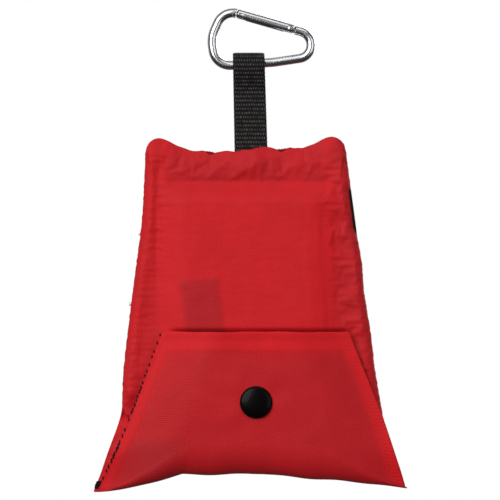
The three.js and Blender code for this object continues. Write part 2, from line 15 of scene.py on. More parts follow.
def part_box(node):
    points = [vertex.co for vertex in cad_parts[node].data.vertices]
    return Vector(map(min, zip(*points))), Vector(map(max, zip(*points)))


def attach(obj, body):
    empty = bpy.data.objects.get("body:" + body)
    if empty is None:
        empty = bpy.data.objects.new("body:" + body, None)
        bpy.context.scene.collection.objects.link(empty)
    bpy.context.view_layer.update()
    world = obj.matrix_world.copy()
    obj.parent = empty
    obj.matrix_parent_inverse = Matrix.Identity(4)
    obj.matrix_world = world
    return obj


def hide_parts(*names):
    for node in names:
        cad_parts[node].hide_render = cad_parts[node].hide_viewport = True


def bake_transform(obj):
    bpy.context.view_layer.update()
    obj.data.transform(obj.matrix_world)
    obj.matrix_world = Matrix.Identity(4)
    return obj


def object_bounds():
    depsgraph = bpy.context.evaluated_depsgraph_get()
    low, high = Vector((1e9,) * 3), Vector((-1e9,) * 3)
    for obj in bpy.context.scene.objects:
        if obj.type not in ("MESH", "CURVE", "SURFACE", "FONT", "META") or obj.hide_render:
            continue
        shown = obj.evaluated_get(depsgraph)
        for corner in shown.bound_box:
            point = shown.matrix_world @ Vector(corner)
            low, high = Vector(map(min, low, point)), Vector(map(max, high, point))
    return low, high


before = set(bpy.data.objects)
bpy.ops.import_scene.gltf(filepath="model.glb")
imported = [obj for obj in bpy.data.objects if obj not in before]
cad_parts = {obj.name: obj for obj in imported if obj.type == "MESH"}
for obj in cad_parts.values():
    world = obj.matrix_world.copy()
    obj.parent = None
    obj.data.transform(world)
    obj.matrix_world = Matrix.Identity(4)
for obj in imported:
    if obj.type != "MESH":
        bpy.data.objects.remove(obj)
cad_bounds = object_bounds()

MM = 0.001
TAU = 2 * math.pi


# ---------- numbers ----------


def box_mm(node):
    low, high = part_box(node)
    return np.array(low) / MM, np.array(high) / MM


def ease(t):
    """0 below 0, 1 above 1, and a smooth step between."""
    c = np.clip(t, 0.0, 1.0)
    return c * c * (3 - 2 * c)


def mix(a, b, t):
    return a + (b - a) * t


def hump(x, centre, width):
    """A bell of height 1."""
    return np.exp(-(((x - centre) / width) ** 2))


def unit(v):
    return v / np.maximum(np.linalg.norm(v, axis=-1, keepdims=True), 1e-12)


def rumple(x, z, size, seed):
    """Smooth noise from about -1 to 1 over a sheet, with lumps of that size. Arrays in, an array out."""
    shape = np.broadcast(x, z).shape
    across = np.broadcast_to(x, shape).ravel() / size
    up = np.broadcast_to(z, shape).ravel() / size
    return np.array([noise.noise((a, b, seed)) for a, b in zip(across, up)]).reshape(shape)


# ---------- meshes ----------


def linked(name, data):
    """A new object of the scene."""
    obj = bpy.data.objects.new(name, data)
    bpy.context.scene.collection.objects.link(obj)
    return obj


def mesh_from(name, points, faces, uv=None, smooth=True):
    """An object from points in millimetres. uv holds the flat cloth's place of each point, in millimetres."""
    mesh = bpy.data.meshes.new(name)
    mesh.from_pydata((np.asarray(points) * MM).tolist(), [], [tuple(f) for f in faces])
    mesh.update()
    if uv is not None:
        layer = mesh.uv_layers.new(name="flat")
        corner = np.zeros(len(mesh.loops), np.int32)
        mesh.loops.foreach_get("vertex_index", corner)
        layer.data.foreach_set("uv", np.asarray(uv, np.float32)[corner].ravel())
    mesh.polygons.foreach_set("use_smooth", [smooth] * len(mesh.polygons))
    return linked(name, mesh)


def grid_of(x, y, z):
    """Points from coordinates that may each vary along rows, columns or both."""
    return np.stack(np.broadcast_arrays(x, y, z), axis=-1)


def grid_faces(rows, columns, wrap=False):
    """Quads over a grid of points kept row by row. wrap joins the last column to the first."""
    last = columns if wrap else columns - 1
    i, j = np.meshgrid(np.arange(rows - 1), np.arange(last), indexing="ij")
    a = i * columns + j
    b = i * columns + (j + 1) % columns
    return np.stack([a, b, b + columns, a + columns], axis=-1).reshape(-1, 4)


def flat_of(points):
    """Where each point of a grid of cloth lies once it is flat, from the lengths along rows and columns."""
    across = np.linalg.norm(np.diff(points, axis=1), axis=2)
    along = np.linalg.norm(np.diff(points, axis=0), axis=2)
    u = np.concatenate([np.zeros((len(points), 1)), np.cumsum(across, axis=1)], axis=1)
    v = np.concatenate([np.zeros((1, points.shape[1])), np.cumsum(along, axis=0)], axis=0)
    u -= u[:, -1:] / 2
    return np.stack([u, v], axis=-1)


def cloth_from(name, points, thickness, tone=None):
    """A sheet of cloth from a grid of the points of its outer face, given thickness inwards."""
    faces = grid_faces(*points.shape[:2])
    obj = mesh_from(name, points.reshape(-1, 3), faces, flat_of(points).reshape(-1, 2))
    if tone is not None:
        layer = obj.data.attributes.new("tone", "FLOAT", "POINT")
        layer.data.foreach_set("value", np.asarray(tone, np.float32).ravel())
    solid = obj.modifiers.new("thickness", "SOLIDIFY")
    solid.thickness = thickness * MM
    solid.offset = -1
    return obj


def length_along(line):
    """The distance along a line from its start to each of its points."""
    return np.concatenate([[0], np.cumsum(np.linalg.norm(np.diff(line, axis=0), axis=1))])


def spaced(line, step):
    """The line with points that step apart, and the length from its start to each of them."""
    length = length_along(line)
    at = np.linspace(0, length[-1], int(length[-1] / step) + 1)
    return np.stack([np.interp(at, length, line[:, k]) for k in range(line.shape[1])], axis=1), at


def curved(points, steps):
    """A smooth line through points."""
    points = np.asarray(points, float)
    ends = np.concatenate([[2 * points[0] - points[1]], points, [2 * points[-1] - points[-2]]])
    line = []
    for a, b, c, d in zip(ends, ends[1:], ends[2:], ends[3:]):
        for t in np.linspace(0, 1, steps, endpoint=False):
            square, cube = (2 * a - 5 * b + 4 * c - d) * t**2, (3 * b - a - 3 * c + d) * t**3
            line.append(0.5 * (2 * b + (c - a) * t + square + cube))
    return np.array(line + [points[-1]])


ASKEW = (0.31, 0.17, 0.93)  # a direction that no thread follows


def tubes(name, lines, radius, sides):
    """Round threads along lines of points, each closed with a cap at both ends, as one mesh."""
    points, faces, uv, count = [], [], [], 0
    turn = np.linspace(0, TAU, sides, endpoint=False)
    for line in lines:
        line = np.asarray(line, float)
        along = unit(np.gradient(line, axis=0))
        side = unit(np.cross(along, ASKEW))
        other = np.cross(along, side)
        ring = side[:, None] * np.cos(turn)[:, None] + other[:, None] * np.sin(turn)[:, None]
        points.append((line[:, None] + radius * ring).reshape(-1, 3))
        around, length = np.broadcast_arrays(turn * radius, length_along(line)[:, None])
        uv.append(np.stack([around, length], axis=-1).reshape(-1, 2))
        faces += (grid_faces(len(line), sides, wrap=True) + count).tolist()
        faces.append(list(range(count, count + sides))[::-1])
        faces.append(list(range(count + (len(line) - 1) * sides, count + len(line) * sides)))
        count += len(line) * sides
    return mesh_from(name, np.concatenate(points), faces, np.concatenate(uv))


def turned(name, profile, centre, sides):
    """A surface of revolution from (radius, depth) points, about a front-to-back axis at centre (x, z)."""
    profile = np.array(profile, float)
    turn = np.linspace(0, TAU, sides, endpoint=False)
    radius, depth = profile[:, 0][:, None], profile[:, 1][:, None]
    x = centre[0] + radius * np.cos(turn)
    z = centre[1] + radius * np.sin(turn)
    obj = mesh_from(name, grid_of(x, -depth, z).reshape(-1, 3), grid_faces(len(profile), sides, wrap=True))
    merge_close(obj, 0.002)
    return obj


def merge_close(obj, distance):
    """Joins points this close, so that a ring of no radius becomes a point, and turns the faces outwards."""
    bm = bmesh.new()
    bm.from_mesh(obj.data)
    bmesh.ops.remove_doubles(bm, verts=bm.verts, dist=distance * MM)
    bmesh.ops.recalc_face_normals(bm, faces=bm.faces)
    bm.to_mesh(obj.data)
    bm.free()


def rounded_profile(corners, bend):
    """A line through corners (radius, depth) with each inner corner rounded, from up to bend before it."""
    corners = np.array(corners, float)
    line = [corners[0]]
    for before, at, after in zip(corners, corners[1:], corners[2:]):
        reach = min(bend, np.linalg.norm(before - at) / 2, np.linalg.norm(after - at) / 2)
        start, end = at + reach * unit(before - at), at + reach * unit(after - at)
        t = np.linspace(0, 1, 5)[:, None]
        line += list((1 - t) ** 2 * start + 2 * t * (1 - t) * at + t**2 * end)
    return np.array(line + [corners[-1]])


def combine(obj, tool, how):
    """Cuts or joins obj with tool, a closed mesh, and removes tool."""
    step = obj.modifiers.new(how, "BOOLEAN")
    step.operation = how
    step.solver = "EXACT"
    step.object = tool
    bpy.context.view_layer.update()
    graph = bpy.context.evaluated_depsgraph_get()
    mesh = bpy.data.meshes.new_from_object(obj.evaluated_get(graph), depsgraph=graph)
    obj.modifiers.clear()
    obj.data = mesh
    bpy.data.objects.remove(tool)
    return obj


def plate(name, outline, thickness):
    """An upright plate from its outline (x, z), centred on the strap's plane."""
    outline = np.asarray(outline, float)
    count = len(outline)
    front = np.stack([outline[:, 0], np.full(count, -thickness / 2), outline[:, 1]], axis=-1)
    back = front + [0, thickness, 0]
    faces = [list(range(count)), list(range(count, 2 * count))[::-1]]
    faces += [[i, i + count, (i + 1) % count + count, (i + 1) % count] for i in range(count)]
    obj = mesh_from(name, np.concatenate([front, back]), faces, smooth=False)
    merge_close(obj, 0.001)
    return obj


def soften(obj, width):
    """Rounds the sharp edges, and shades the rest smooth."""
    bevel = obj.modifiers.new("bevel", "BEVEL")
    bevel.width = width * MM
    bevel.segments = 2
    bevel.limit_method = "ANGLE"
    bevel.angle_limit = math.radians(35)
    obj.data.shade_smooth()


# ---------- materials ----------


class Nodes:
    """A small writer of node trees."""

    def __init__(self, name):
        self.material = bpy.data.materials.new(name)
        self.material.use_nodes = True
        self.tree = self.material.node_tree
        self.shader = self.tree.nodes["Principled BSDF"]

    def add(self, kind, inputs=None, **settings):
        node = self.tree.nodes.new("ShaderNode" + kind)
        for key, value in settings.items():
            setattr(node, key, value)
        for key, value in (inputs or {}).items():
            self.put(node.inputs[key], value)
        return node

    def put(self, socket, value):
        if isinstance(value, bpy.types.NodeSocket):
            self.tree.links.new(value, socket)
        else:
            socket.default_value = value

    def math(self, operation, *values, clamp=False):
        return self.add("Math", dict(enumerate(values)), operation=operation, use_clamp=clamp).outputs[0]

    def plus(self, a, b):
        return self.math("ADD", a, b)

    def times(self, a, b):
        return self.math("MULTIPLY", a, b)

    def scaled(self, a, by, plus):
        return self.math("MULTIPLY_ADD", a, by, plus)

    def waves(self, a, period):
        """A sine of a coordinate, from 0 to 1."""
        return self.scaled(self.math("SINE", self.times(a, TAU / period)), 0.5, 0.5)

    def stretched(self, vector, scale):
        return self.add("Mapping", {"Vector": vector, "Scale": scale}).outputs[0]

    def noise(self, vector, scale, detail=3.0, roughness=0.5):
        inputs = {"Vector": vector, "Scale": scale, "Detail": detail, "Roughness": roughness}
        return self.add("TexNoise", inputs).outputs[0]

    def blend(self, factor, a, b):
        return self.add("Mix", {0: factor, 6: a, 7: b}, data_type="RGBA").outputs[2]

    def bump(self, height, distance):
        return self.add("Bump", {"Height": height, "Distance": distance * MM, "Strength": 1.0}).outputs[0]

    def set(self, **values):
        for key, value in values.items():
            self.put(self.shader.inputs[key.replace("_", " ")], value)

    def flat(self):
        """The flat cloth's two coordinates, in millimetres."""
        uv = self.add("UVMap", uv_map="flat").outputs[0]
        split = self.add("SeparateXYZ", {0: uv})
        return uv, split.outputs[0], split.outputs[1]


def rgb(*display):
    """A display colour of 0 to 255 as the linear colour that a shader takes."""
    return tuple(((c / 255 + 0.055) / 1.055) ** 2.4 if c > 10 else c / 255 / 12.92 for c in display) + (1.0,)


def brightened(colour, by, plus=0.0):
    return tuple(min(1, by * c + plus) for c in colour[:3]) + (1,)


def cloth_material(name, lit, shade, twill=1.4, fuzz=0.08):
    """Fine polyester twill: diagonal wales over two sets of yarns, slubs, and a slow change of shade."""
    n = Nodes(name)
    uv, u, v = n.flat()
    diagonal = n.waves(n.plus(u, n.times(v, 1.25)), twill)
    yarns = n.times(n.waves(u, twill * 0.85), n.waves(v, twill * 0.80))
    slubs = n.noise(n.stretched(uv, (0.22, 2.6, 1.0)), 1.0, 2.0)
    grain = n.noise(uv, 1.5, 3.0, 0.65)
    cloud = n.noise(uv, 0.035, 3.0, 0.55)
    weave = n.scaled(diagonal, 0.55, n.times(yarns, 0.45))
    # Tone below 0 mixes towards dark red: the dark handle showing through the front cloth, and painted shade
    # elsewhere. Tone above 0 mixes towards a lighter copy of the lit red: painted light on the flap's hem
    # band, where the doubled cloth stands up as a rim.
    tone = n.add("Attribute", attribute_name="tone", attribute_type="GEOMETRY").outputs["Fac"]
    shares = n.plus(n.scaled(weave, 0.52, -0.37), n.scaled(cloud, 0.7, -0.2))
    shares = n.plus(shares, n.times(slubs, 0.30))
    lightness = n.math("ADD", shares, n.times(grain, 0.45), clamp=True)
    base = n.blend(lightness, shade, lit)
    hem_painted_light = n.blend(n.math("MAXIMUM", tone, 0.0), base, brightened(lit, 1.25))
    shown = n.blend(n.math("MAXIMUM", n.times(tone, -1.0), 0.0), hem_painted_light, (0.10, 0.006, 0.010, 1))
    height = n.plus(n.scaled(slubs, 0.3, weave), n.times(grain, 0.5))
    n.set(Base_Color=shown, Roughness=n.scaled(weave, -0.16, 0.74), Normal=n.bump(height, 0.07))
    n.set(Specular_IOR_Level=0.20, Sheen_Weight=fuzz, Sheen_Roughness=0.45, Sheen_Tint=rgb(255, 120, 120))
    return n.material


def webbing_material(name, colour, rib):
    """Heavy woven tape: rows of slanting yarns with a painted highlight on their tops, and dull hollows
    between the rows.
    """
    n = Nodes(name)
    uv, u, v = n.flat()
    row = n.waves(n.math("SUBTRACT", v, rib / 4), rib)
    drift = n.scaled(n.noise(uv, 0.6, 2.0), 1.6, u)
    slant = n.waves(n.plus(drift, n.times(n.waves(v, rib * 2), 0.6)), 1.16)
    yarn = n.times(row, slant)
    fine = n.noise(n.stretched(uv, (4.0, 1.6, 1.0)), 1.0, 4.0, 0.6)
    patches = n.noise(uv, 0.35, 3.0)
    shine = n.times(n.times(yarn, fine), n.scaled(patches, 1.6, -0.1))
    base = n.blend(n.scaled(shine, 2.9, -0.15), colour, brightened(colour, 4.0, 0.060))
    ribs = n.bump(n.scaled(fine, 0.7, yarn), 0.16)
    n.set(Base_Color=base, Roughness=n.scaled(fine, 0.35, 0.5), Normal=ribs)
    n.set(Specular_IOR_Level=0.12, Sheen_Weight=0.03, Sheen_Roughness=0.5)
    return n.material


def thread_material(name, colour):
    """Twisted thread: fine slanting plies."""
    n = Nodes(name)
    uv, u, v = n.flat()
    plies = n.waves(n.plus(n.times(u, 1.3), v), 0.5)
    fluff = n.noise(uv, 2.5, 3.0)
    base = n.blend(n.times(plies, fluff), colour, brightened(colour, 1.8, 0.004))
    n.set(Base_Color=base, Roughness=n.scaled(fluff, 0.3, 0.55), Normal=n.bump(plies, 0.05))
    n.set(Specular_IOR_Level=0.15, Sheen_Weight=0.03)
    return n.material


def metal_material(name, colour, roughness):
    """Polished metal with fine rubbing marks and a slightly uneven polish."""
    n = Nodes(name)
    place = n.add("TexCoord").outputs["Object"]
    marks = n.noise(n.stretched(place, (9000.0, 1500.0, 2600.0)), 1.0, 4.0, 0.6)
    polish = n.noise(place, 260.0, 3.0)
    base = n.blend(n.scaled(polish, 1.3, -0.3), colour, brightened(colour, 0.82))
    rough = n.plus(n.scaled(marks, 0.10, roughness), n.times(polish, 0.09))
    n.set(Base_Color=base, Roughness=rough, Normal=n.bump(n.scaled(marks, 0.3, polish), 0.006), Metallic=1.0)
    return n.material


def enamel_material(name, colour):
    """Glossy black enamel over metal, with a faint orange-peel and fine dust."""
    n = Nodes(name)
    place = n.add("TexCoord").outputs["Object"]
    peel = n.noise(place, 900.0, 2.0)
    dust = n.noise(place, 5200.0, 4.0, 0.7)
    speck = n.math("GREATER_THAN", dust, 0.69)
    base = n.blend(n.times(speck, 0.25), colour, rgb(90, 84, 82))
    n.set(Base_Color=base, Roughness=n.scaled(peel, 0.10, 0.20), Normal=n.bump(peel, 0.012))
    n.set(Specular_IOR_Level=0.05, Coat_Weight=0.015, Coat_Roughness=0.14)
    return n.material


# Each look is a material and its slot.
RED = cloth_material("red_twill", rgb(204, 20, 28), rgb(168, 10, 18)), "red_cloth"
RED_INSIDE = cloth_material("red_twill_inside", rgb(178, 20, 28), rgb(142, 10, 18), fuzz=0.10), "red_lining"
BAG_CLOTH = cloth_material("bag_ripstop", rgb(168, 22, 30), rgb(128, 12, 20), twill=0.5), "red_lining"
RIB = 1.92  # from one rib of the webbing to the next
WEBBING = webbing_material("black_webbing", rgb(8, 6, 5), RIB), "black_webbing"
BLACK_THREAD = thread_material("black_thread", rgb(11, 9, 9)), "black_thread"
RED_THREAD = thread_material("red_thread", rgb(190, 26, 34)), "red_thread"
ALUMINIUM = metal_material("polished_aluminium", rgb(214, 215, 218), 0.13), "aluminium"
STEEL = metal_material("nickel_steel", rgb(160, 160, 162), 0.22), "steel"
ENAMEL = enamel_material("black_enamel", rgb(7, 5, 5)), "black_cap"


def finish_piece(obj, look, body, stands_for=()):
    """Gives a piece its material and the one body it rides on, and hides the CAD nodes it stands for."""
    material, slot = look
    obj.data.materials.clear()
    obj.data.materials.append(material)
    if body:
        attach(obj, body)
    if stands_for:
        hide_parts(*stands_for)


# ---------- camera, floor and light ----------

CAMERA_DISTANCE = 2400
VIEW_HEIGHT = 231.25
VIEW_MARGIN_TOP = 3.6  # clear of the carabiner's top
SNAP_CENTRE = np.mean(box_mm("snap_cap"), axis=0)
SNAP_OFF_CENTRE = 2.8  # the view's middle is this far to the left of the snap


def make_camera():
    lens = bpy.data.cameras.new("camera")
    lens.sensor_width = 36
    lens.lens = lens.sensor_width * CAMERA_DISTANCE / VIEW_HEIGHT
    camera = linked("camera", lens)
    aim_height = cad_bounds[1][2] / MM + VIEW_MARGIN_TOP - VIEW_HEIGHT / 2
    camera.location = Vector((SNAP_CENTRE[0] - SNAP_OFF_CENTRE, -CAMERA_DISTANCE, aim_height)) * MM
    camera.rotation_euler = (math.pi / 2, 0, 0)
    bpy.context.scene.camera = camera


FLOOR_DROP = 1.48387  # the floor lies this many times as far down as the object reaches
FLOOR_RADIUS = 880
FLOOR_SIDES = 96


def make_floor(middle):
    angles = np.linspace(0, TAU, FLOOR_SIDES, endpoint=False)
    rim = FLOOR_RADIUS * np.stack([np.cos(angles), np.sin(angles), 0 * angles], axis=-1)
    floor = mesh_from("floor", rim, [list(range(FLOOR_SIDES))])
    floor.location = (middle[0], 0, FLOOR_DROP * cad_bounds[0][2])
    pale = Nodes("pale_floor")
    speckle = pale.noise(pale.add("TexCoord").outputs["Object"], 60.0, 3.0)
    pale.set(Base_Color=pale.blend(speckle, rgb(232, 231, 229), rgb(240, 239, 237)), Roughness=0.8)
    floor.data.materials.append(pale.material)
    floor.visible_diffuse = floor.visible_glossy = False


def make_world():
    """The camera sees white. Surfaces are lit from behind and above, and see darkness in front and below."""
    world = bpy.data.worlds.new("studio")
    world.use_nodes = True
    bpy.context.scene.world = world
    tree = world.node_tree
    seen = tree.nodes["Background"]
    seen.inputs["Color"].default_value = (1, 1, 1, 1)

    def add(kind, *sources):
        node = tree.nodes.new("ShaderNode" + kind)
        for socket, source in zip(node.inputs, sources):
            tree.links.new(source, socket)
        return node

    def ramp(source, stops):
        """Levels of grey at places along a direction, where 0 and 1 are its two ends."""
        node = add("ValToRGB", source)
        elements = node.color_ramp.elements
        while len(elements) < len(stops):
            elements.new(0.5)
        for element, (position, level) in zip(elements, stops):
            element.position, element.color = position, (level, level, level, 1)
        return node.outputs[0]

    parts = add("SeparateXYZ", add("TexCoord").outputs["Generated"])
    shares = []
    for k in (1, 2):
        share = add("Math", parts.outputs[k])
        share.operation = "MULTIPLY_ADD"
        share.inputs[1].default_value = share.inputs[2].default_value = 0.5
        shares.append(share.outputs[0])

    def cast(depth_stops, height_stops, strength):
        both = add("VectorMath", ramp(shares[0], depth_stops), ramp(shares[1], height_stops))
        both.operation = "MULTIPLY"
        node = add("Background", both.outputs[0])
        node.inputs["Strength"].default_value = strength
        return node.outputs[0]

    diffuse = cast(((0.30, 0.24), (0.62, 0.85)), ((0.30, 0.35), (0.62, 1.0)), 0.8)
    streaks = ((0.06, 0.05), (0.11, 0.60), (0.17, 0.08), (0.45, 0.12), (0.80, 0.55))
    glossy = cast(streaks, ((0.25, 0.25), (0.50, 1.0)), 0.9)
    path = add("LightPath")
    by_kind = add("MixShader", path.outputs["Is Glossy Ray"], diffuse, glossy)
    choose = add("MixShader", path.outputs["Is Camera Ray"], by_kind.outputs[0], seen.outputs[0])
    tree.links.new(choose.outputs[0], tree.nodes["World Output"].inputs["Surface"])


LAMPS = (  # name, place, width and height, all in metres, and watts
    ("key", (-0.95, -1.75, 0.50), (1.5, 1.5), 47.0),
    ("top", (0.05, -1.00, 1.45), (1.9, 1.0), 8.0),
    ("fill", (1.45, -1.45, 0.0), (1.5, 1.5), 9.0),
    ("back", (0.80, 1.60, 0.45), (1.3, 1.3), 34.0),
)


def make_lamps(target):
    for name, place, size, watts in LAMPS:
        lamp = bpy.data.lights.new(name, "AREA")
        lamp.shape = "RECTANGLE"
        lamp.size, lamp.size_y = size
        lamp.energy = watts
        obj = linked(name, lamp)
        obj.location = place
        obj.rotation_euler = (Vector(target) - Vector(place)).to_track_quat("-Z", "Y").to_euler()


def make_studio():
    middle = (cad_bounds[0] + cad_bounds[1]) / 2
    make_floor(middle)
    make_world()
    make_lamps(middle)
    bpy.context.scene.view_settings.view_transform = "Standard"


make_camera()
make_studio()


# ---------- the pouch's outline and depths, from the CAD nodes ----------


def outline_at(node, heights):
    """Lowest and highest x of a CAD node at each height."""
    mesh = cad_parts[node].data
    points = np.array([v.co for v in mesh.vertices]) / MM
    ends = np.array([e.vertices[:] for e in mesh.edges])
    a, b = points[ends[:, 0]], points[ends[:, 1]]
    found = []
    for height in heights:
        over = (a[:, 2] - height) * (b[:, 2] - height) < 0
        share = (height - a[over, 2]) / (b[over, 2] - a[over, 2])
        x = mix(a[over, 0], b[over, 0], share)
        found.append((x.min(), x.max()))
    return np.array(found)


def softened(values, width):
    """A table of values with its corners rounded over that many entries."""
    reach = np.arange(-3 * width, 3 * width + 1)
    bell = np.exp(-((reach / width) ** 2) / 2)
    padded = np.pad(values, 3 * width, mode="reflect", reflect_type="odd")
    return np.convolve(padded, bell / bell.sum(), mode="valid")


class Edges:
    """The left and right edge of a CAD node as smooth functions of height, carried on past its ends."""

    def __init__(self, node, low, high, beyond=(), nudges=()):
        heights = np.linspace(low, high, 24)
        sides = outline_at(node, heights)
        for height, left, right in beyond:
            heights = np.concatenate([[height], heights])
            sides = np.concatenate([[[left, right]], sides])
        for height, width, left, right in nudges:
            sides = sides + hump(heights, height, width)[:, None] * np.array([left, right])
        slope = (sides[-1] - sides[-4]) / (heights[-1] - heights[-4])
        heights = np.concatenate([heights, [heights[-1] + 30]])
        sides = np.concatenate([sides, [sides[-1] + 30 * slope]])
        self.fine = np.arange(heights[0], heights[-1], 0.5)
        self.sides = [softened(np.interp(self.fine, heights, sides[:, k]), 6) for k in (0, 1)]

    def left(self, z):
        return np.interp(z, self.fine, self.sides[0])

    def right(self, z):
        return np.interp(z, self.fine, self.sides[1])

    def across(self, u, z):
        return mix(self.left(z), self.right(z), u)


PACKET_LOW, PACKET_HIGH = box_mm("folded_bag")
STRAP_LOW, STRAP_HIGH = box_mm("strap_webbing")
FRONT_LOW = box_mm("front_panel")[0]
BACK_LOW, BACK_HIGH = box_mm("back_panel")
FLAP_LOW, FLAP_HIGH = box_mm("flap_outer")
FRONT_DEPTH = -FRONT_LOW[1]
BACK_DEPTH = BACK_HIGH[1]
SEAM_HEIGHT = -60.0  # the joint between the strap and the pouch
MOUTH = FRONT_LOW[2]
FREE_EDGE = FLAP_HIGH[2]
FOLD_HEIGHT = FLAP_LOW[2] + 3.8
CORNER_DROOP = (8.3, 6.2)  # how far the fold's left and right corners hang below its middle

CORNERS = (FOLD_HEIGHT - 8, -63.8, 81.4)  # height of the fold's two tips, and x of the left and the right one
FLAP_CORNERS = (CORNERS[0], CORNERS[1] + 2.2, CORNERS[2] - 0.4)
# Where the edges are drawn in or bulge: height, length, and how far to the right the left and right edges go.
NUDGES = ((-180, 9, 1.5, 0.0), (-112, 6, 0, 0.9), (-146, 13, 0, 0.7), (-192, 7, 0, -0.6))
BODY = Edges("back_panel", BACK_LOW[2] + 2, -70, beyond=[(-211.0, -60.6, 79.4), CORNERS], nudges=NUDGES)
OVERHANG = 0.1  # of the front cloth beyond the back's edges
FLAP = Edges("flap_outer", FOLD_HEIGHT + 2, FREE_EDGE - 0.5, beyond=[FLAP_CORNERS])


def spread(count):
    """Shares across a sheet, closer together at both edges."""
    t = np.linspace(0, 1, count)
    return mix(t, (1 - np.cos(math.pi * t)) / 2, 0.55)


TOP_CORNER = 6.0
STRAP_MIDDLE = (STRAP_LOW[0] + STRAP_HIGH[0]) / 2


def gathers(x):
    """The small uneven folds across the top, where the strap's seam draws the cloth together."""
    return np.sin(x / 1.55 + 0.6 * np.sin(x / 6.3))


def notches(x):
    """Places on the top edge where the front cloth sits lower and shows the thread behind it."""
    return hump(x, -9.6, 1.9) + 0.9 * hump(x, 23.4, 2.4) + 0.35 * hump(x, 29, 1.2)


def pouch_top(u, dips=0.0):
    """Height of the pouch's top edge, which the strap's seam and gathers pull down between round corners."""
    left, right = BODY.left(SEAM_HEIGHT), BODY.right(SEAM_HEIGHT)
    x = mix(left, right, u)
    from_side = np.minimum(x - left, right - x)
    on_right = ease((x - 8) / 4)
    sag = mix(6.0, 5.4, on_right) * ease((from_side - 5.5) / mix(16.0, 15.0, on_right))
    between = ease((from_side - 12) / 8)
    uneven = 0.45 * np.sin(x / 9.0 + 1.0) * between
    inset = np.clip(TOP_CORNER - from_side, 0, TOP_CORNER)
    rounding = TOP_CORNER - np.sqrt(np.maximum(TOP_CORNER**2 - inset**2, 0))
    height = mix(-55.0, -54.3, on_right) - sag - 0.30 * gathers(x) * between - uneven - rounding
    return height + 0.9 * hump(x, STRAP_MIDDLE, 9) - dips * notches(x)


def from_edges(x, z):
    """How far a place is inside the pouch's left, right and top edges."""
    left, right = BODY.left(z), BODY.right(z)
    return x - left, right - x, pouch_top((x - left) / (right - left)) - z


def nearest_edge(from_left, from_right, from_top):
    return np.minimum(np.minimum(from_left, from_right), np.maximum(from_top, 0))


def from_snap(x, z):
    return np.hypot(x - SNAP_CENTRE[0], z - SNAP_CENTRE[2])


def over_packet(x, z, inside, above, below):
    """1 over the packet and 0 away from it, with a ramp round its left, right and top edges."""
    outside = 4.0
    left = ease((x - PACKET_LOW[0] + outside) / (outside + inside))
    right = ease((PACKET_HIGH[0] + outside - x) / (outside + inside))
    top = ease((PACKET_HIGH[2] + above - z) / (above + below))
    return left * right * top


SNAP_FRONT = -box_mm("snap_stud")[1][1] - 0.1  # depth of the cloth under the stud
MARGIN_DEPTH = 3.2  # of the front cloth beside the packet


def front_depth(x, z):
    """Depth of the front cloth's outer face."""
    from_left, from_right, from_top = from_edges(x, z)
    to_edge = nearest_edge(from_left, from_right, from_top / 4)
    depth = 0.5 + (MARGIN_DEPTH - 0.5) * (1 - np.exp(-np.maximum(to_edge, 0) / 1.6))
    depth += 0.5 * hump(from_left, 3.6, 2.4) + 0.5 * hump(from_right, 3.6, 2.4)
    between = ease((from_left - 5) / 8) * ease((from_right - 5) / 8)
    depth += 0.3 * hump(from_top, 4.0, 4.0) * between
    depth += 1.9 * hump(x, STRAP_MIDDLE, 9.5) * ease((16 - from_top) / 12)
    depth += (FRONT_DEPTH - 0.3 - MARGIN_DEPTH) * over_packet(x, z, 12.0, 4.5, 6.0)
    beside = hump(x, PACKET_LOW[0] - 2.2, 1.8) * ease((-62 - z) / 8) * ease((z + 150) / 50)
    over = ease((x - PACKET_LOW[0]) / 6) * ease((PACKET_HIGH[0] - x) / 6)
    depth = depth - 0.6 * beside - 0.5 * hump(z, PACKET_HIGH[2] + 4.0, 2.4) * over
    depth = mix(depth, 0.9, ease((9 - from_left) / 4) * ease((-171 - z) / 9))
    tuck = ease((FREE_EDGE + 2.4 - z) / 3.4) * ease((x + 30) / 7) * ease((57 - x) / 6)
    depth = depth - 3.0 * tuck
    return mix(depth, SNAP_FRONT, ease((18 - from_snap(x, z)) / 12))


CREASES = (  # across, width, height and lean of the upright creases over the packet's right part
    (35.5, 1.8, 0.22, 0.006),
    (40.6, 1.2, 0.34, 0.022),
    (44.4, 1.3, 0.26, 0.034),
    (31.0, 2.4, 0.12, -0.012),
)


def front_wrinkles(x, z):
    """What the cloth does beside the packet's push: creases, puckers along the seams, and slow waves."""
    from_left, from_right, from_top = from_edges(x, z)
    relief = 0.34 * rumple(x, z, 17, 3.1) + 0.14 * rumple(x, z, 6, 7.7)
    relief += 0.07 * rumple(x * 0.35, z * 1.6, 3.2, 15.2)
    length = ease((-86 - z) / 14)
    for across, wide, tall, lean in CREASES:
        middle = across - lean * (z + 84) - 0.9 * np.sin(z / 13.0 + across)
        strength = 0.6 * tall * length * (0.7 + 0.5 * np.sin(z / 8.5 + 2 * across))
        relief += strength * (hump(x, middle, wide) - 0.6 * hump(x, middle + 2.0 * wide, wide))
    along = z + 0.45 * x + 3.0 * rumple(x, z, 14, 11.3)
    puckers = np.sin(along / 2.1) + 0.6 * np.sin(along / 3.4 + 1.3)
    relief += 0.16 * puckers * hump(from_right, 8.0, 5.2) * ease((-66 - z) / 6)
    along = z - 0.5 * x + 2.5 * rumple(x, z, 11, 4.9)
    relief += 0.07 * np.sin(along / 2.6) * hump(from_left, 6.5, 4.5) * ease((-66 - z) / 6)
    gathered = gathers(x) + 0.5 * np.sin(x / 3.1 + 0.4)
    between = ease((from_left - 8) / 8) * ease((from_right - 8) / 8)
    relief += 0.16 * gathered * hump(from_top, 2.5, 4.0) * between
    return relief * ease(nearest_edge(from_left, from_right, from_top) / 1.2)


HANDLE_LOW, HANDLE_HIGH = box_mm("bag_handle")
HANDLE_TILT = math.radians(8)
HANDLE_SIZE = (18.0, 42.0)


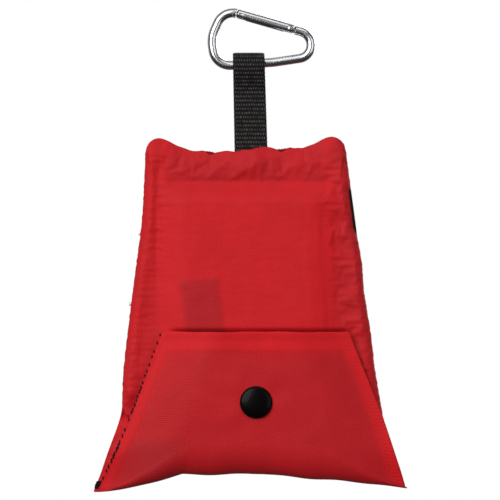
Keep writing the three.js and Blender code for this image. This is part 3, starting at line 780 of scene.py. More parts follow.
def handle_shade(x, z, soft=3.0):
    """1 where the bag's black handle lies behind the cloth, fading out at its edges."""
    dx = x - (HANDLE_LOW[0] + HANDLE_HIGH[0]) / 2
    dz = z - (HANDLE_LOW[2] + HANDLE_HIGH[2]) / 2
    across = dx * math.cos(HANDLE_TILT) + dz * math.sin(HANDLE_TILT)
    up = -dx * math.sin(HANDLE_TILT) + dz * math.cos(HANDLE_TILT)
    inside_x = ease((HANDLE_SIZE[0] / 2 - np.abs(across)) / soft + 0.5)
    inside_z = ease((HANDLE_SIZE[1] / 2 - np.abs(up)) / soft + 0.5)
    return inside_x * inside_z


def back_depth(x, z):
    """Depth behind the strap's plane of the back cloth's outer face."""
    from_left, from_right, from_top = from_edges(x, z)
    to_edge = nearest_edge(from_left, from_right, from_top)
    depth = 0.5 + 1.5 * (1 - np.exp(-np.maximum(to_edge, 0) / 1.5))
    depth += (BACK_DEPTH - 2.0) * over_packet(x, z, 9.0, 1.0, 9.0)
    depth += 1.5 * hump(x, STRAP_MIDDLE, 9.5) * ease((13 - from_top) / 10)
    strip = ease((9 - from_left) / 3) * ease((-182 - z) / 6)
    return mix(depth, 0.3 - 0.25 * from_left, strip)


def back_wrinkles(x, z):
    """Puckers along the back's side seams, gathers under its top edge, and slow waves."""
    from_left, from_right, from_top = from_edges(x, z)
    relief = 0.45 * rumple(x, z, 19, 21.5) + 0.17 * rumple(x, z, 7, 23.1)
    along = z - 0.3 * x + 2.0 * rumple(x, z, 13, 25.0)
    relief += 0.24 * np.sin(along / 2.2) * (hump(from_left, 8, 4) + hump(from_right, 8, 4))
    relief += 0.25 * gathers(x) * hump(from_top, 2.5, 4.0)
    return relief * ease(nearest_edge(from_left, from_right, from_top) / 1.5)


def bottom_height(x):
    """Lowest point of the fold: level in the middle, hanging at both corners."""
    left = np.clip((-22.5 - x) / 40.5, 0, 1.1)
    right = np.clip((x - 15.0) / 66.0, 0, 1.1)
    wave = 0.25 * np.sin(x / 7.0) + 0.2 * np.sin(x / 3.7 + 1)
    droop = CORNER_DROOP[0] * (1 - (1 - np.minimum(left, 1)) ** 1.55) + CORNER_DROOP[1] * right**1.1
    return FOLD_HEIGHT + 0.2 - droop + wave * (1 - left)


SNAP_FLAP = -box_mm("snap_cap")[0][1] - 2.15  # depth of the cloth under the cap


def flap_depth(x, z):
    """Depth of the flap's outer face."""
    from_left = x - FLAP.left(z)
    from_right = FLAP.right(z) - x
    full = ease((from_left + 3) / 33) * ease((from_right + 3) / 31)
    down = (FREE_EDGE - z) / (FREE_EDGE - SNAP_CENTRE[2])
    middle = SNAP_FLAP + 1.7 - 1.2 * down - 0.5 * down**2
    at_edges = mix(0.9, 5.5, ease((z - CORNERS[0]) / 22))
    depth = mix(at_edges, middle, full)
    away = from_snap(x, z)
    angle = np.arctan2(z - SNAP_CENTRE[2], x - SNAP_CENTRE[0])
    pulled = 0.16 * np.cos(5 * angle + 0.7) * hump(away, 13, 7)
    slow = 0.35 * rumple(x, z, 22, 31.7) + 0.16 * rumple(x, z, 8, 33.3)
    flat = 1 - hump(away, 0, 9)
    lip = 0.4 * ease(1 - (FREE_EDGE - z) / 4)
    return depth + (pulled + slow * flat + lip) * ease(from_left / 3) * ease(from_right / 3)


HEM_WIDTH = 8.6
SIDE_HEM_WIDTH = 5.0


def hem_band(x, z, soft=2.6):
    """1 where the flap's edges are turned in and the cloth is double, fading out over the soft distance."""
    to_side = 0.9 * np.minimum(x - FLAP.left(z), FLAP.right(z) - x)
    inside = ease((FREE_EDGE - z - HEM_WIDTH) / soft + 0.5) * ease((to_side - SIDE_HEM_WIDTH) / soft + 0.5)
    return 1 - inside


# ---------- the cloth ----------

CLOTH = 0.5
SOLVER_SCALE = 20  # the solver is at its best with cloth of a few metres
SOLVER_FRAMES = 16
EXTRA_CLOTH = 0.045  # share by which slack cloth is longer and wider than the room that it has
MOST_MOVED = 1.0
MOST_INWARD = 0.5  # towards the packet


def settled(points, held, slack, front=-1):
    """The grid of points after Blender's cloth solver has let its slack parts buckle.

    held is 1 where the cloth is sewn down and less where it is freer. slack is 1 where the cloth has all of
    its extra length and width. front is the sign of y on the cloth's outer side."""
    rows, columns = points.shape[:2]
    trial = mesh_from("trial", points.reshape(-1, 3) * SOLVER_SCALE, grid_faces(rows, columns))
    for name, weights in (("held", held), ("snug", 1 - slack)):
        group = trial.vertex_groups.new(name=name)
        levels = np.round(np.clip(weights, 0, 1).ravel() * 20).astype(int)
        for level in range(1, 21):
            group.add(np.flatnonzero(levels == level).tolist(), level / 20, "REPLACE")
    solver = trial.modifiers.new("cloth", "CLOTH")
    cloth = solver.settings
    cloth.quality = 5
    cloth.mass = 0.2
    cloth.air_damping = 3.0
    cloth.tension_stiffness = cloth.compression_stiffness = 12
    cloth.shear_stiffness = 4
    cloth.bending_stiffness = 0.01
    cloth.vertex_group_mass = "held"
    cloth.pin_stiffness = 2.0
    cloth.vertex_group_shrink = "snug"
    cloth.shrink_min = -EXTRA_CLOTH
    cloth.shrink_max = 0.0
    cloth.effector_weights.gravity = 0
    solver.collision_settings.use_collision = False
    solver.point_cache.frame_end = SOLVER_FRAMES
    scene = bpy.context.scene
    for frame_number in range(1, SOLVER_FRAMES + 1):
        scene.frame_set(frame_number)
    graph = bpy.context.evaluated_depsgraph_get()
    settled_mesh = trial.evaluated_get(graph).data
    place = np.zeros(3 * rows * columns, np.float32)
    settled_mesh.vertices.foreach_get("co", place)
    bpy.data.objects.remove(trial)
    scene.frame_set(1)
    moved = place.reshape(points.shape) / MM / SOLVER_SCALE - points
    length = np.linalg.norm(moved, axis=-1, keepdims=True)
    moved *= np.tanh(length / MOST_MOVED) * MOST_MOVED / np.maximum(length, 1e-6)
    outward = front * moved[..., 1]
    inward = -MOST_INWARD * np.tanh(-outward / MOST_INWARD)
    moved[..., 1] = front * np.where(outward < 0, inward, outward)
    return points + moved


def held_round(slack):
    """How firmly each point of a grid is held: sewn down round the edges, and loosely where it's slack."""
    held = 0.25 * (1 - slack)
    held[:, :2] = held[:, -2:] = held[-2:] = held[:2] = 1
    return held


def margins(x, z):
    """How near a place is to the middle of the left, right and top margins beside the packet."""
    from_left, from_right, from_top = from_edges(x, z)
    sides = np.maximum(0.45 * hump(from_left, 6, 5), 0.8 * hump(from_right, 8, 6))
    return np.maximum(sides, 0.8 * hump(from_top, 8, 6))


def painted_margin_shade(x, z):
    """Painted shade: how much darker the front cloth is painted above the packet, on the slope over its top,
    in the margins left and right of it and at the upper right, in uneven patches.
    """
    from_left, from_right = from_edges(x, z)[:2]
    inside = ease((from_left - 6) / 10) * ease((from_right - 6) / 10)
    above = ease((z - PACKET_HIGH[2] - 2) / 5) * inside
    slope = ease((z - PACKET_HIGH[2] + 9) / 7) * inside * (1 - above)
    right = ease((x - PACKET_HIGH[0] + 3) / 6)
    left = ease((PACKET_LOW[0] + 1 - x) / 4)
    ear = ease((x - 42) / 6) * ease((z + 74) / 6)
    patches = 1 + 0.5 * rumple(x, z, 12, 51.0)
    darker = 0.20 * above + 0.09 * slope + 0.19 * right * (1 - above) + 0.07 * left + 0.10 * ear
    return np.clip(darker * patches, 0, 1)


def frayed(x, z):
    """The small unevenness of a cut and overlocked edge."""
    return 0.3 * rumple(x, z, 1.7, 91.0) + 0.15 * rumple(x, z, 4.1, 93.0)


SEAM_PINCH = 0.25  # how much further the side seams press the two cloths together


def make_front():
    """The front cloth, which is open at the bottom, where its mouth rises at the left edge."""
    columns, rows = 150, 160
    u = spread(columns)[None]
    v = np.linspace(0, 1, rows)[:, None]
    mouth = MOUTH + 13 * ease((0.09 - u) / 0.06) + 4.5 * np.clip(1 - u / 0.022, 0, 1)
    z = mix(mouth, pouch_top(u, dips=1.9) + 0.4, v)
    x = BODY.across(u, z) + (2 * u - 1) * OVERHANG
    x = x + frayed(x, z) * ease((abs(2 * u - 1) - 0.96) / 0.03)
    rolled = 1.2 * ease((z + 103) / 8) * ease((-75 - z) / 5) * ease((u - 0.9) / 0.1)
    x = x - rolled
    handle = handle_shade(x, z)
    depth = front_depth(x + rolled, z) + front_wrinkles(x, z) + 0.2 * handle
    points = grid_of(x, -depth, z)
    slack = margins(x, z)
    held = np.maximum(held_round(slack), ease((9 - from_snap(x, z)) / 3))
    points = settled(points, held, slack)
    points[:, [0, -1], 1] += SEAM_PINCH
    # The tone darkens the cloth where the bag's dark handle lies behind it, and adds painted shade above the
    # packet and in the margins.
    obj = cloth_from("front_cloth", points, CLOTH, tone=-0.30 * handle - painted_margin_shade(x, z))
    finish_piece(obj, RED, "pouch", ["front_panel"])
    return obj


def make_body():
    """The back, the bottom fold and the flap, which are one cloth."""
    columns = 170
    u = spread(columns)[None]
    x_low = mix(CORNERS[1] + 0.6, CORNERS[2], u)
    lowest = bottom_height(x_low)
    closeness = ease(np.minimum(x_low - CORNERS[1], CORNERS[2] - x_low) / 42)
    back_rise = mix(1.0, 6.0, closeness)
    front_rise = mix(1.0, 16.0, closeness)

    v = np.linspace(0, 1, 120)[:, None]
    z = mix(pouch_top(u), lowest + back_rise, v)
    x = BODY.across(u, z)
    back = grid_of(x, back_depth(x, z) + back_wrinkles(x, z), z)
    slack = np.maximum(margins(x, z), 0.35)
    back = settled(back, held_round(slack), slack, front=1)
    back[:, [0, -1], 1] -= SEAM_PINCH

    start_x, start_depth = x[-1:], -back[-1:, :, 1]
    top_z = lowest + front_rise
    end_x = FLAP.across(u, top_z)
    end_depth = flap_depth(end_x, top_z)
    middle = mix(start_depth, end_depth, 0.42)
    turn = np.linspace(0, math.pi / 2, 16)[1:, None]
    rising, flattening = np.sin(turn), 1 - np.cos(turn)
    under_y = -mix(start_depth, middle, flattening)
    under = grid_of(mix(start_x, x_low, flattening), under_y, lowest + back_rise * (1 - rising))
    belly_y = -mix(middle, end_depth, rising)
    belly = grid_of(mix(x_low, end_x, flattening), belly_y, lowest + front_rise * flattening)
    v = np.linspace(0, 1, 110)[1:, None]
    edge = FREE_EDGE + 0.5 + 0.10 * np.sin(u * 31) + 0.15 * np.sin(u * 12 + 1)
    z = mix(top_z, edge, v)
    x = FLAP.across(u, z)
    flap = grid_of(x, -flap_depth(x, z) - 0.2 * hem_band(x, z), z)
    points = np.concatenate([back, under, belly, flap])
    tone = np.zeros(points.shape[:2])
    # Painted shade and light through the tone: the flap and the belly below it are painted darker, and the
    # flap's hem band lighter. hollow is the painted shade of a dent low on the flap, left of the middle,
    # which the belly takes too.
    hollow = 0.20 * hump(x, -36, 17) * ease((-190 - z) / 8)
    tone[-len(flap):] = mix(-0.20, 0.10, hem_band(x, z, soft=5.5)) - hollow
    tone[-len(flap) - len(belly):-len(flap)] = -0.20 - hollow[:1]
    obj = cloth_from("body_cloth", points, CLOTH, tone=tone)
    finish_piece(obj, RED, None, ["back_panel", "flap_outer"])
    return obj


def bend_at_fold(obj):
    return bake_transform(obj)


front = make_front()
body = make_body()
bend_at_fold(body)


def flap_layer(name, low, high, inset, behind, rows=24, wave=0.0):
    """A sheet on the flap's inner side, between two heights and inset from the flap's edges."""
    z = mix(low, high, np.linspace(0, 1, rows)[:, None])
    x = mix(FLAP.left(z) + inset, FLAP.right(z) - inset, np.linspace(0, 1, 80)[None])
    depth = flap_depth(x, z) - behind + wave * rumple(x, z, 9, 41.0)
    return cloth_from(name, grid_of(x, -depth, z), CLOTH)


def make_flap_inside():
    """The flap's lining, and the hem that is turned in along its free edge."""
    hem_low = FREE_EDGE - 8.5
    lining = flap_layer("flap_lining_cloth", FOLD_HEIGHT + 14, hem_low + 0.2, 4.0, 1.35, wave=0.1)
    finish_piece(lining, RED_INSIDE, "flap", ["flap_lining"])
    hem = flap_layer("flap_hem_fold", hem_low, FREE_EDGE - 0.3, 0.8, 0.75, rows=8)
    finish_piece(hem, RED, "flap", ["flap_hem"])


make_flap_inside()


# ---------- threads ----------


ON_BACK = ((0, 4.2), (0.35, 2.4), (0.45, 1.1))  # share of the way to the next stitch, and inset
AT_EDGE = ((0.5, 0.0, 0.2), (0.6, 0.3, -0.35), (1.0, 1.0, -0.3))  # that share, share of the reach, and y


def overlock(name, places, inward, stands_for):
    """Overlock stitches round an edge, seen on the back.

    A place is a stitch's x and z, how far inside the edge it turns and how far it reaches in from there.
    inward is the direction into the cloth, in x and z."""

    def on_back(place, inset):
        x, z = place[0] + inset * inward[0], place[1] + inset * inward[1]
        skin = back_depth(x, z) + back_wrinkles(x, z)
        return [x, float(skin) + 0.28, z]

    lines = []
    for place, following in zip(places, places[1:]):
        line = [on_back(mix(place, following, share), inset) for share, inset in ON_BACK]
        for share, reach, y in AT_EDGE:
            at = mix(place, following, share)
            inset = at[2] + reach * at[3]
            line.append([at[0] + inset * inward[0], y, at[1] + inset * inward[1]])
        lines.append(curved(line, 3))
    lines.append([on_back(place, 4.2) for place in places])
    finish_piece(tubes(name, lines, 0.24, 6), BLACK_THREAD, "pouch", stands_for)


def side_overlock(name, side, low, stands_for):
    """The overlock down a side of the pouch. On the right, the front cloth rolls in and shows part of it."""
    x_at = BODY.left if side > 0 else BODY.right
    places = []
    z = -66.0
    while z > low:
        shown = float(ease((z + 103) / 6) * ease((-75 - z) / 4)) if side < 0 else 0.0
        places.append(np.array([float(x_at(z)), z, mix(1.3, 0.1, shown), mix(0.7, 1.7, shown)]))
        z -= mix(1.8, 0.52, shown)
    overlock(name, places, (side, 0.0), stands_for)


side_overlock("overlock_left", 1, -181.0, ["side_seam_left"])
side_overlock("overlock_right", -1, -196.0, ["side_seam_right"])


def top_overlock():
    """The overlock along the pouch's top edge, which turns further out at the notches."""
    left, right = BODY.left(SEAM_HEIGHT), BODY.right(SEAM_HEIGHT)
    places = []
    for x in np.linspace(left + 7, right - 7, 62):
        height = float(pouch_top((x - left) / (right - left)))
        places.append(np.array([x, height, 1.0 - min(1.0, 2 * float(notches(x))), 0.7]))
    overlock("overlock_top", places, (0.0, -1.0), ["top_seam"])


top_overlock()


DASHES = (  # height, distance from one dash to the next and length of a dash, down the flap's left edge
    (-145, 3.6, 0.8),
    (-163, 2.7, 1.0),
    (-171, 1.9, 1.5),
    (-180, 2.1, 1.4),
    (-184, 4.6, 0.8),
    (-190, 3.2, 1.0),
    (-193, 1.7, 1.9),
    (-201, 1.7, 1.9),
    (-204, 3.0, 1.4),
    (-212, 2.6, 1.2),
    (-214, 0.6, 1.0),
    (-219, 0.6, 1.0),
)


def flap_overlock():
    """The overlock down the flap's left edge, whose loops show on the outside as short dashes."""
    heights, pitches, lengths = np.array(DASHES)[::-1].T
    lines = []
    z, i = FREE_EDGE - 0.8, 0
    while z > CORNERS[0] + 2.2:
        pitch = float(np.interp(z, heights, pitches)) * (1 + 0.25 * math.sin(2.3 * i))
        long = float(np.interp(z, heights, lengths)) * (1 + 0.25 * math.sin(1.7 * i))
        at_tip = float(ease((-210 - z) / 5))
        x = float(FLAP.left(z)) - 1.4 * at_tip
        depth = float(flap_depth(np.array(x + 0.3), np.array(z)))
        line = [
            [x + 2.6, -depth + 0.75, z + 0.3],
            [x + 0.35, -depth + 0.7, z + 0.2],
            [x - 0.05, -depth + 0.25, z + 0.1],
            [x + 0.12, -depth - 0.36, z - 0.1],
            [x - 0.15, -depth - 0.34, z - 0.1 - 0.8 * long],
        ]
        lines.append(curved(line, 3))
        if at_tip > 0.5:
            lines.append(lines[-1] + [-0.6, 0.05, 0.35])
        z -= pitch
        i += 1
    obj = tubes("flap_overlock_thread", lines, 0.36, 6)
    finish_piece(obj, BLACK_THREAD, None, ["flap_overlock"])
    bend_at_fold(obj)


flap_overlock()


STITCH_ARCH = ((0, 0.5), (0.18, -0.05), (0.5, -0.2), (0.82, -0.05), (1, 0.5))  # share along, and how deep


def mouth_stitches():
    """The row that holds the mouth's hem. Each stitch is a short arch that dips into the cloth twice."""
    z = MOUTH + 6
    left, right = BODY.left(z) + 5, BODY.right(z) - 5
    count, gap = 44, 0.28
    lines = []
    for i in range(count):
        line = []
        for share, sink in STITCH_ARCH:
            t = mix((i + gap / 2) / count, (i + 1 - gap / 2) / count, share)
            x = mix(left, right, t)
            depth = front_depth(x, np.array(z)) + front_wrinkles(x, np.array(z))
            line.append([x, sink - float(depth), z])
        lines.append(curved(line, 2))
    stitches = tubes("mouth_stitches", lines, 0.22, 6)
    finish_piece(stitches, RED_THREAD, "pouch", ["mouth_hem_stitch"])


mouth_stitches()


def make_mouth_hem():
    """The cloth that is turned in along the front's mouth."""
    z = mix(MOUTH + 0.3, MOUTH + 7.4, np.linspace(0, 1, 8)[:, None])
    x = mix(BODY.left(z) + 13, BODY.right(z) - 3, np.linspace(0, 1, 90)[None])
    depth = front_depth(x, z) - CLOTH - 0.1
    hem = cloth_from("mouth_hem_fold", grid_of(x, -depth, z), 0.45)
    finish_piece(hem, RED, "pouch", ["mouth_hem"])


make_mouth_hem()


# ---------- strap ----------

WEBBING_THICKNESS = 1.3
BACK_YARNS = 40  # how far the back of a band is from its front in the weave's pattern, so that the two differ
LOOP_CENTRE = np.array([0.0, STRAP_HIGH[2] - (STRAP_HIGH[1] - STRAP_LOW[1]) / 2])
LOOP_RADIUS = (STRAP_HIGH[1] - STRAP_LOW[1]) / 2 - WEBBING_THICKNESS / 2
LAYERS_MEET = LOOP_CENTRE[1] - 14
TAILS_LOW = box_mm("strap_tails")[0][2]


def webbing_line():
    """The webbing's middle line, as (y, z), up in front, round the carabiner and down behind."""
    near, wide = WEBBING_THICKNESS / 2 + 0.15, LOOP_RADIUS
    t = np.linspace(0, 1, 40)[:, None]
    start, lift = np.array([-near, LAYERS_MEET]), np.array([-near, LAYERS_MEET + 6])
    spread_out, end = np.array([-wide, LOOP_CENTRE[1] - 6]), np.array([-wide, LOOP_CENTRE[1]])
    rise = (1 - t) ** 3 * start + 3 * (1 - t) ** 2 * t * lift + 3 * (1 - t) * t**2 * spread_out + t**3 * end
    turn = np.linspace(math.pi, 0, 40)[:, None]
    over = np.concatenate([wide * np.cos(turn), LOOP_CENTRE[1] + wide * np.sin(turn)], axis=1)
    front_leg = np.linspace([-near, TAILS_LOW], [-near, LAYERS_MEET], 40)
    half = np.concatenate([front_leg[:-1], rise[:-1]])
    return np.concatenate([half, over, half[::-1] * [-1, 1]])


def woven_band(name, line, at, left, width, thickness, across=34):
    """A ribbed woven band along a line (y, z), as one closed skin. at is how far along each point is."""
    along = unit(np.gradient(line, axis=0))
    normal = np.stack([-along[:, 1], along[:, 0]], axis=-1)
    rib = np.abs(np.sin(math.pi * at / RIB))
    odd = np.floor(at / RIB) % 2
    t = np.linspace(0, 1, across)
    shoulder = np.sqrt(np.clip(1 - (2 * np.abs(t - 0.5)) ** 10, 0, 1))
    yarn = 0.5 + 0.5 * np.cos(TAU * (t[None] * width / 1.12 + 0.5 * odd[:, None]))
    half = thickness / 2 * (0.72 + 0.28 * rib[:, None]) * shoulder[None]
    half = half - 0.10 * yarn * rib[:, None] * shoulder[None]
    edge = 0.16 * (rib - 0.5)
    x = left + width * t[None] + (2 * t[None] - 1) * edge[:, None]
    sides = []
    for side in (1, -1):
        y = line[:, 0][:, None] + side * half * normal[:, 0][:, None]
        z = line[:, 1][:, None] + side * half * normal[:, 1][:, None]
        sides.append(grid_of(x, y, z))
    ring = np.concatenate([sides[0], sides[1][:, ::-1]], axis=1)
    rows, columns = ring.shape[:2]
    faces = grid_faces(rows, columns, wrap=True).tolist()
    for row in (0, rows - 1):
        first, last = row * columns, row * columns + columns - 1
        cap = [[first + i, first + i + 1, last - 1 - i, last - i] for i in range(across - 1)]
        faces += cap if row else [f[::-1] for f in cap]
    place = np.concatenate([x, x[:, ::-1] + BACK_YARNS], axis=1)
    uv = np.stack(np.broadcast_arrays(place, at[:, None]), axis=-1)
    obj = mesh_from(name, ring.reshape(-1, 3), faces, uv.reshape(-1, 2))
    merge_close(obj, 0.001)
    return obj


def make_strap():
    """The loop of webbing, which leans to the left and gets slightly narrower as it rises."""
    line, at = spaced(webbing_line(), 0.24)
    width = STRAP_HIGH[0] - STRAP_LOW[0]
    obj = woven_band("webbing_loop", line, at, STRAP_LOW[0], width, WEBBING_THICKNESS)
    for vertex in obj.data.vertices:
        share = (vertex.co.x / MM - STRAP_LOW[0]) / width
        rise = min(1.0, max(0.0, (vertex.co.z / MM - TAILS_LOW) / (STRAP_HIGH[2] - TAILS_LOW)))
        vertex.co.x += mix(0.35, -0.65 - 0.7 * share, rise) * MM
    finish_piece(obj, WEBBING, None, ["strap_webbing", "strap_tails"])
    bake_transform(obj)


make_strap()


# ---------- carabiner ----------

ROD_R = 2.1
GATE_R = 2.3
GATE_LENGTH = 25.1
GATE_TILT = math.radians(15.84)
NOSE_END = 25.3
PIVOT = np.mean(box_mm("gate_rivet"), axis=0)[[0, 2]]
SPINE = LOOP_CENTRE[1]
# Corners of the rod's centreline as (x, z, bend radius), from the nose round to the hinge.
ROD_CORNERS = (
    (-3.4, 4.8, 7.6),
    (-9.2, -8.0, 14.0),
    (-7.2, SPINE - 1.0, 8.0),
    (20.0, SPINE + 1.0, 30.0),
    (37.4, SPINE + 3.6, 6.2),
    (36.6, -6.5, 6.2),
)


def on_gate_line(distance):
    """The place (x, z) on the gate's middle line, that far from its pivot towards the nose."""
    return PIVOT + distance * np.array([-math.cos(GATE_TILT), math.sin(GATE_TILT)])


def gate_run(start, end, step=0.5):
    """The gate's middle line between two distances from the pivot."""
    return spaced(np.array([on_gate_line(start), on_gate_line(end)]), step)[0]


def bent_line(start, corners, end):
    """Straight runs between corners, each corner rounded to its bend radius."""
    places = [np.array(c[:2]) for c in corners]
    line = [start]
    for i, (x, z, bend) in enumerate(corners):
        at = places[i]
        before = unit((places[i - 1] if i else start) - at)
        after = unit((places[i + 1] if i + 1 < len(places) else end) - at)
        half = math.acos(float(before @ after)) / 2
        centre = at + unit(before + after) * bend / math.sin(half)
        enter, leave = at + before * bend / math.tan(half), at + after * bend / math.tan(half)
        a, b = enter - centre, leave - centre
        sweep = math.atan2(a[0] * b[1] - a[1] * b[0], a @ b)
        turn = np.linspace(0, sweep, 24)
        cos, sin = np.cos(turn), np.sin(turn)
        line += list(centre + np.stack([a[0] * cos - a[1] * sin, a[0] * sin + a[1] * cos], axis=-1))
    line.append(end)
    return spaced(np.array(line), 0.35)[0]


def rod(name, line, radius, sides=40, chamfer=0.3):
    """A round rod along a flat line (x, z), with its ends' edges broken."""
    along = unit(np.gradient(line, axis=0))
    normal = np.stack([-along[:, 1], along[:, 0]], axis=-1)
    centres = np.concatenate([[line[0]], line, [line[-1]]])
    normals = np.concatenate([[normal[0]], normal, [normal[-1]]])
    radii = np.full(len(centres), radius)
    radii[0] = radii[-1] = radius - chamfer
    centres[1:-1][0] += along[0] * chamfer * 0.7
    centres[1:-1][-1] -= along[-1] * chamfer * 0.7
    turn = np.linspace(0, TAU, sides, endpoint=False)
    flat = centres[:, None] + (radii[:, None] * np.cos(turn))[..., None] * normals[:, None]
    y = -radii[:, None] * np.sin(turn)
    points = np.stack([flat[..., 0], y, flat[..., 1]], axis=-1).reshape(-1, 3)
    faces = grid_faces(len(centres), sides, wrap=True).tolist()
    faces.append(list(range(sides))[::-1])
    faces.append(list(range(len(points) - sides, len(points))))
    obj = mesh_from(name, points, faces)
    merge_close(obj, 0.0005)
    return obj


def to_gate(outline):
    """Points (x, z) of the gate's own frame, with the nose end along -x, moved to where the gate lies."""
    outline = np.asarray(outline, float)
    cos, sin = math.cos(GATE_TILT), math.sin(GATE_TILT)
    x = outline[:, 0] * cos + outline[:, 1] * sin
    z = -outline[:, 0] * sin + outline[:, 1] * cos
    return np.stack([x, z], axis=-1) + PIVOT


def arc(radius, start, end, steps):
    """Points (x, z) of a circle round the gate's pivot, between two angles in degrees."""
    turn = np.radians(np.linspace(start, end, steps))
    return radius * np.stack([np.cos(turn), np.sin(turn)], axis=-1)


def drilled(obj, place, radius):
    """The object with a hole from front to back at a place (x, z)."""
    drill = turned("hole", [(0, -6), (radius, -6), (radius, 6), (0, 6)], place, 24)
    return combine(obj, drill, "DIFFERENCE")


PIN_HOLE_R = 1.05
LATCH_AT = 23.3  # from the pivot to the pin that the hook catches
LATCH_HOLE_R = 0.62
HOOK = (  # the outline of the catch on the nose, in the gate's own frame
    (-26.9, 1.9), (-26.9, -1.4), (-24.55, -1.4), (-24.25, 0.9), (-22.35, 0.9),
    (-22.35, -0.7), (-21.35, -0.7), (-21.15, 1.4), (-21.65, 1.9),
)


def make_carabiner():
    """The bent rod with its collar, hook and tongue, and the rivet that holds the gate."""
    obj = rod("carabiner", bent_line(on_gate_line(NOSE_END), ROD_CORNERS, on_gate_line(-2.45)), ROD_R)
    tongue = np.concatenate([[(4.5, -1.5), (4.5, 1.5)], arc(2.0, 53, 307, 28)])
    tongue = drilled(plate("tongue", to_gate(tongue), 1.8), PIVOT, PIN_HOLE_R)
    combine(obj, rod("collar", gate_run(NOSE_END, NOSE_END + 2.0), ROD_R + 0.16), "UNION")
    combine(obj, tongue, "UNION")
    combine(obj, plate("hook", to_gate(HOOK), 1.5), "UNION")
    soften(obj, 0.12)
    finish_piece(obj, ALUMINIUM, "carabiner", ["carabiner_body"])
    head = GATE_R + 0.3
    half = [(0, head + 0.62), (0.6, head + 0.58), (1.15, head + 0.4), (1.5, head + 0.08)]
    half += [(1.45, head), (0.95, head)]
    rivet = turned("rivet", half + [(r, -d) for r, d in half[::-1]], PIVOT, 32)
    finish_piece(rivet, STEEL, "carabiner", ["gate_rivet"])


def make_gate():
    """The gate's hollow barrel, slotted at both ends, and the pin that the hook catches."""
    obj = rod("gate_bar", gate_run(GATE_LENGTH, -GATE_R), GATE_R, sides=44, chamfer=0.35)
    rounded = [(-GATE_LENGTH - 1, 3), (-GATE_LENGTH - 1, -3), (0, -GATE_R)]
    rounded = np.concatenate([rounded, arc(GATE_R, -90, 90, 24)])
    combine(obj, plate("rounded", to_gate(rounded), 9), "INTERSECT")
    for start, end, wide in ((-2.5, 2.9, 2.4), (-GATE_LENGTH - 0.5, -GATE_LENGTH + 4.5, 2.1)):
        slot = [(start, -4), (end, -4), (end, 4), (start, 4)]
        combine(obj, plate("cutter", to_gate(slot), wide), "DIFFERENCE")
    combine(obj, rod("bore", gate_run(16, 0, 1), 1.3, sides=24), "DIFFERENCE")
    drilled(obj, PIVOT, PIN_HOLE_R)
    drilled(obj, on_gate_line(LATCH_AT), LATCH_HOLE_R)
    soften(obj, 0.1)
    finish_piece(obj, ALUMINIUM, "gate", ["gate_barrel"])
    pin = [(0, 2.25), (0.45, 2.2), (0.55, 2.1), (0.55, -2.1), (0.45, -2.2), (0, -2.25)]
    pin = turned("latch_pin", pin, on_gate_line(LATCH_AT), 24)
    finish_piece(pin, STEEL, "gate", ["gate_latch_pin"])


def make_spring():
    """The return spring in the gate's bore, a coil of seven turns."""
    turns, steps, radius = 7, 20, 0.78
    angles = np.linspace(0, turns * TAU, turns * steps)
    flat = to_gate(np.stack([-7 - 8.5 * angles / angles[-1], radius * np.sin(angles)], axis=-1))
    coil = np.stack([flat[:, 0], radius * np.cos(angles), flat[:, 1]], axis=-1)
    finish_piece(tubes("return_spring", [coil], 0.2, 8), STEEL, "gate", ["gate_spring"])


make_carabiner()
make_gate()
make_spring()


# ---------- snap fastener ----------


def snap_part(name, profile, bend, sides, body, node, look=STEEL):
    """A turned part of the snap from its profile's corners (radius, depth)."""
    obj = turned(name, rounded_profile(profile, bend), SNAP_CENTRE[[0, 2]], sides)
    finish_piece(obj, look, body, [node])


def make_cap():
    """The enamelled cap on the flap, with its rolled rim and the shank that goes through the cloth."""
    low, high = box_mm("snap_cap")
    cap_r, front_of_cap, under = (high[0] - low[0]) / 2, -low[1], -low[1] - 2.0
    profile = [
        (0, under - 1.0), (1.4, under - 1.0), (1.4, under + 0.05),
        (cap_r - 0.8, under - 0.12), (cap_r - 0.25, under - 0.05), (cap_r, under + 0.3),
        (cap_r - 0.12, under + 0.72), (cap_r - 0.75, under + 1.2), (cap_r - 2.0, under + 1.58),
        (cap_r / 2, under + 1.86), (cap_r / 4, front_of_cap - 0.03), (0, front_of_cap),
    ]
    snap_part("cap", profile, 0.5, 96, "flap", "snap_cap", ENAMEL)


def make_socket():
    """The socket behind the flap, and the split ring of wire that grips the stud."""
    low, high = box_mm("snap_socket")
    outer, near, far = (high[0] - low[0]) / 2, -high[1], -low[1]
    ring = [
        (3.1, near + 0.15), (3.5, near), (outer - 1.4, near), (outer - 1.1, near + 0.35),
        (outer, near + 0.75), (outer, far - 0.3), (outer - 0.3, far), (3.1, far),
    ]
    snap_part("socket", ring + [ring[0]], 0.2, 72, "flap", "snap_socket")
    middle_y = np.mean(box_mm("snap_socket_spring"), axis=0)[1]
    turn = np.linspace(0.25, TAU - 0.25, 60)
    loop = grid_of(SNAP_CENTRE[0] + 3.42 * np.cos(turn), middle_y, SNAP_CENTRE[2] + 3.42 * np.sin(turn))
    finish_piece(tubes("socket_wire", [loop], 0.2, 8), STEEL, "flap", ["snap_socket_spring"])


def make_stud():
    """The stud on the pouch's front, and the post that holds it from inside."""
    base = -box_mm("snap_stud")[1][1]
    stud = [
        (1.4, base), (5.7, base), (6.0, base + 0.25), (5.6, base + 0.75), (3.2, base + 0.85),
        (1.95, base + 0.95), (1.9, base + 1.25), (2.3, base + 1.6), (2.15, base + 2.1),
        (1.75, base + 2.2), (1.4, base + 2.0), (1.4, base),
    ]
    snap_part("stud", stud, 0.2, 64, "pouch", "snap_stud")
    low, high = box_mm("snap_post")
    face, tip = -high[1] + 0.45, -low[1]
    post = [
        (0, face - 0.45), (4.2, face - 0.45), (4.6, face - 0.2), (4.4, face),
        (1.1, face), (1.1, tip - 0.3), (0, tip),
    ]
    snap_part("post", post, 0.15, 48, "pouch", "snap_post")


make_cap()
make_socket()
make_stud()


# ---------- what the pouch holds ----------


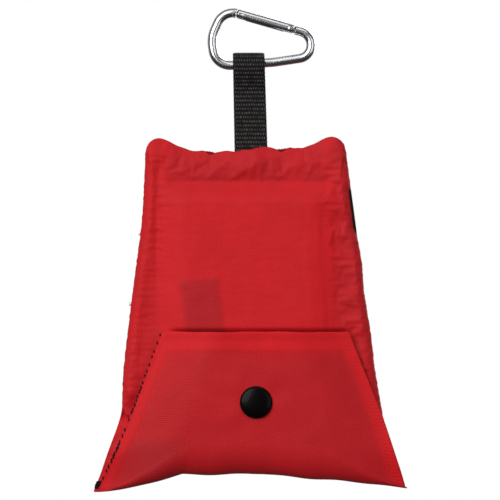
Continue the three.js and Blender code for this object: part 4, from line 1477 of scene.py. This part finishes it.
def packet_depth(x, z, share):
    """Depth of a place in the packet, from its back at share 0 to its front at 1. The cloth squeezes it."""
    room = CLOTH + 0.75
    front = front_depth(x, z) - room - (HANDLE_HIGH[1] - HANDLE_LOW[1]) * handle_shade(x, z, 5.0)
    back = -(back_depth(x, z) - room)
    return mix(back, front, share)


PLIES = 6


def make_packet():
    """The bag, folded to and fro into plies."""
    across = np.linspace(0, 1, 34)
    turn = np.radians(np.linspace(-60, 60, 5))
    xs, shares = [], []
    for k in range(PLIES):
        xs += list(across if k % 2 == 0 else across[::-1])
        shares += [k / (PLIES - 1)] * len(across)
        if k < PLIES - 1:
            end = 1 if k % 2 == 0 else 0
            xs += list(end + (2 * end - 1) * 0.009 * np.cos(turn))
            shares += list((k + 0.5 + 0.5 * np.sin(turn)) / (PLIES - 1))
    xs, shares = np.array(xs)[None], np.array(shares)[None]
    x = mix(PACKET_LOW[0] + 1.2, PACKET_HIGH[0] - 1.2, xs)
    up = np.linspace(0, 1, 60)[:, None]
    ragged = 0.8 * np.sin(9 * xs + 5 * shares) + 0.5 * np.sin(23 * xs + 9 * shares)
    z = mix(PACKET_LOW[2] + 0.8, PACKET_HIGH[2] - 2.2, up) + ragged * (2 * up - 1) * 0.6
    points = grid_of(x, -packet_depth(x, z, shares), z)
    obj = cloth_from("folded_bag_cloth", points, 0.45)
    obj.modifiers["thickness"].offset = 0
    finish_piece(obj, BAG_CLOTH, "pouch", ["folded_bag"])


def make_handle():
    """The bag's carrying handle, a strip of webbing that lies on the packet."""
    middle = (HANDLE_LOW + HANDLE_HIGH) / 2
    thickness = HANDLE_HIGH[1] - HANDLE_LOW[1]
    wide, long = HANDLE_SIZE
    line, at = spaced(np.array([[0, -long / 2], [0, long / 2]]), 0.3)
    obj = woven_band("handle_strip", line, at, -wide / 2, wide, 0.8 * thickness, across=30)
    turn = Matrix.Rotation(-HANDLE_TILT, 4, "Y")
    obj.data.transform(Matrix.Translation(Vector((middle[0], 0, middle[2])) * MM) @ turn)
    for vertex in obj.data.vertices:
        x, z = vertex.co.x / MM, vertex.co.z / MM
        vertex.co.y -= float(packet_depth(x, z, 1.0) + 0.3 + thickness / 2) * MM
    finish_piece(obj, WEBBING, "pouch", ["bag_handle"])


make_packet()
make_handle()


def make_loose_ends():
    """Frayed ends of red thread that stand out of the left seam."""
    lines = []
    for height, count in ((-99.0, 3), (-131.6, 4)):
        for i in range(count):
            start = np.array([float(BODY.left(height)) + 0.5, -0.6, height + 0.45 * (i - 1)])
            reach = 1.3 + 0.35 * math.sin(2.1 * i + height)
            middle = start + [-0.6 * reach, -0.2, 0.25 * math.sin(3.0 * i)]
            end = start + [-reach, -0.3, 0.5 * math.sin(1.7 * i + 1) - 0.4]
            lines.append(curved([start, middle, end], 3))
    finish_piece(tubes("loose_thread_ends", lines, 0.13, 6), RED_THREAD, "pouch")


make_loose_ends()

# ---------- the CAD node that stays ----------

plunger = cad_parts["gate_plunger"].data.materials
plunger.clear()
plunger.append(STEEL[0])
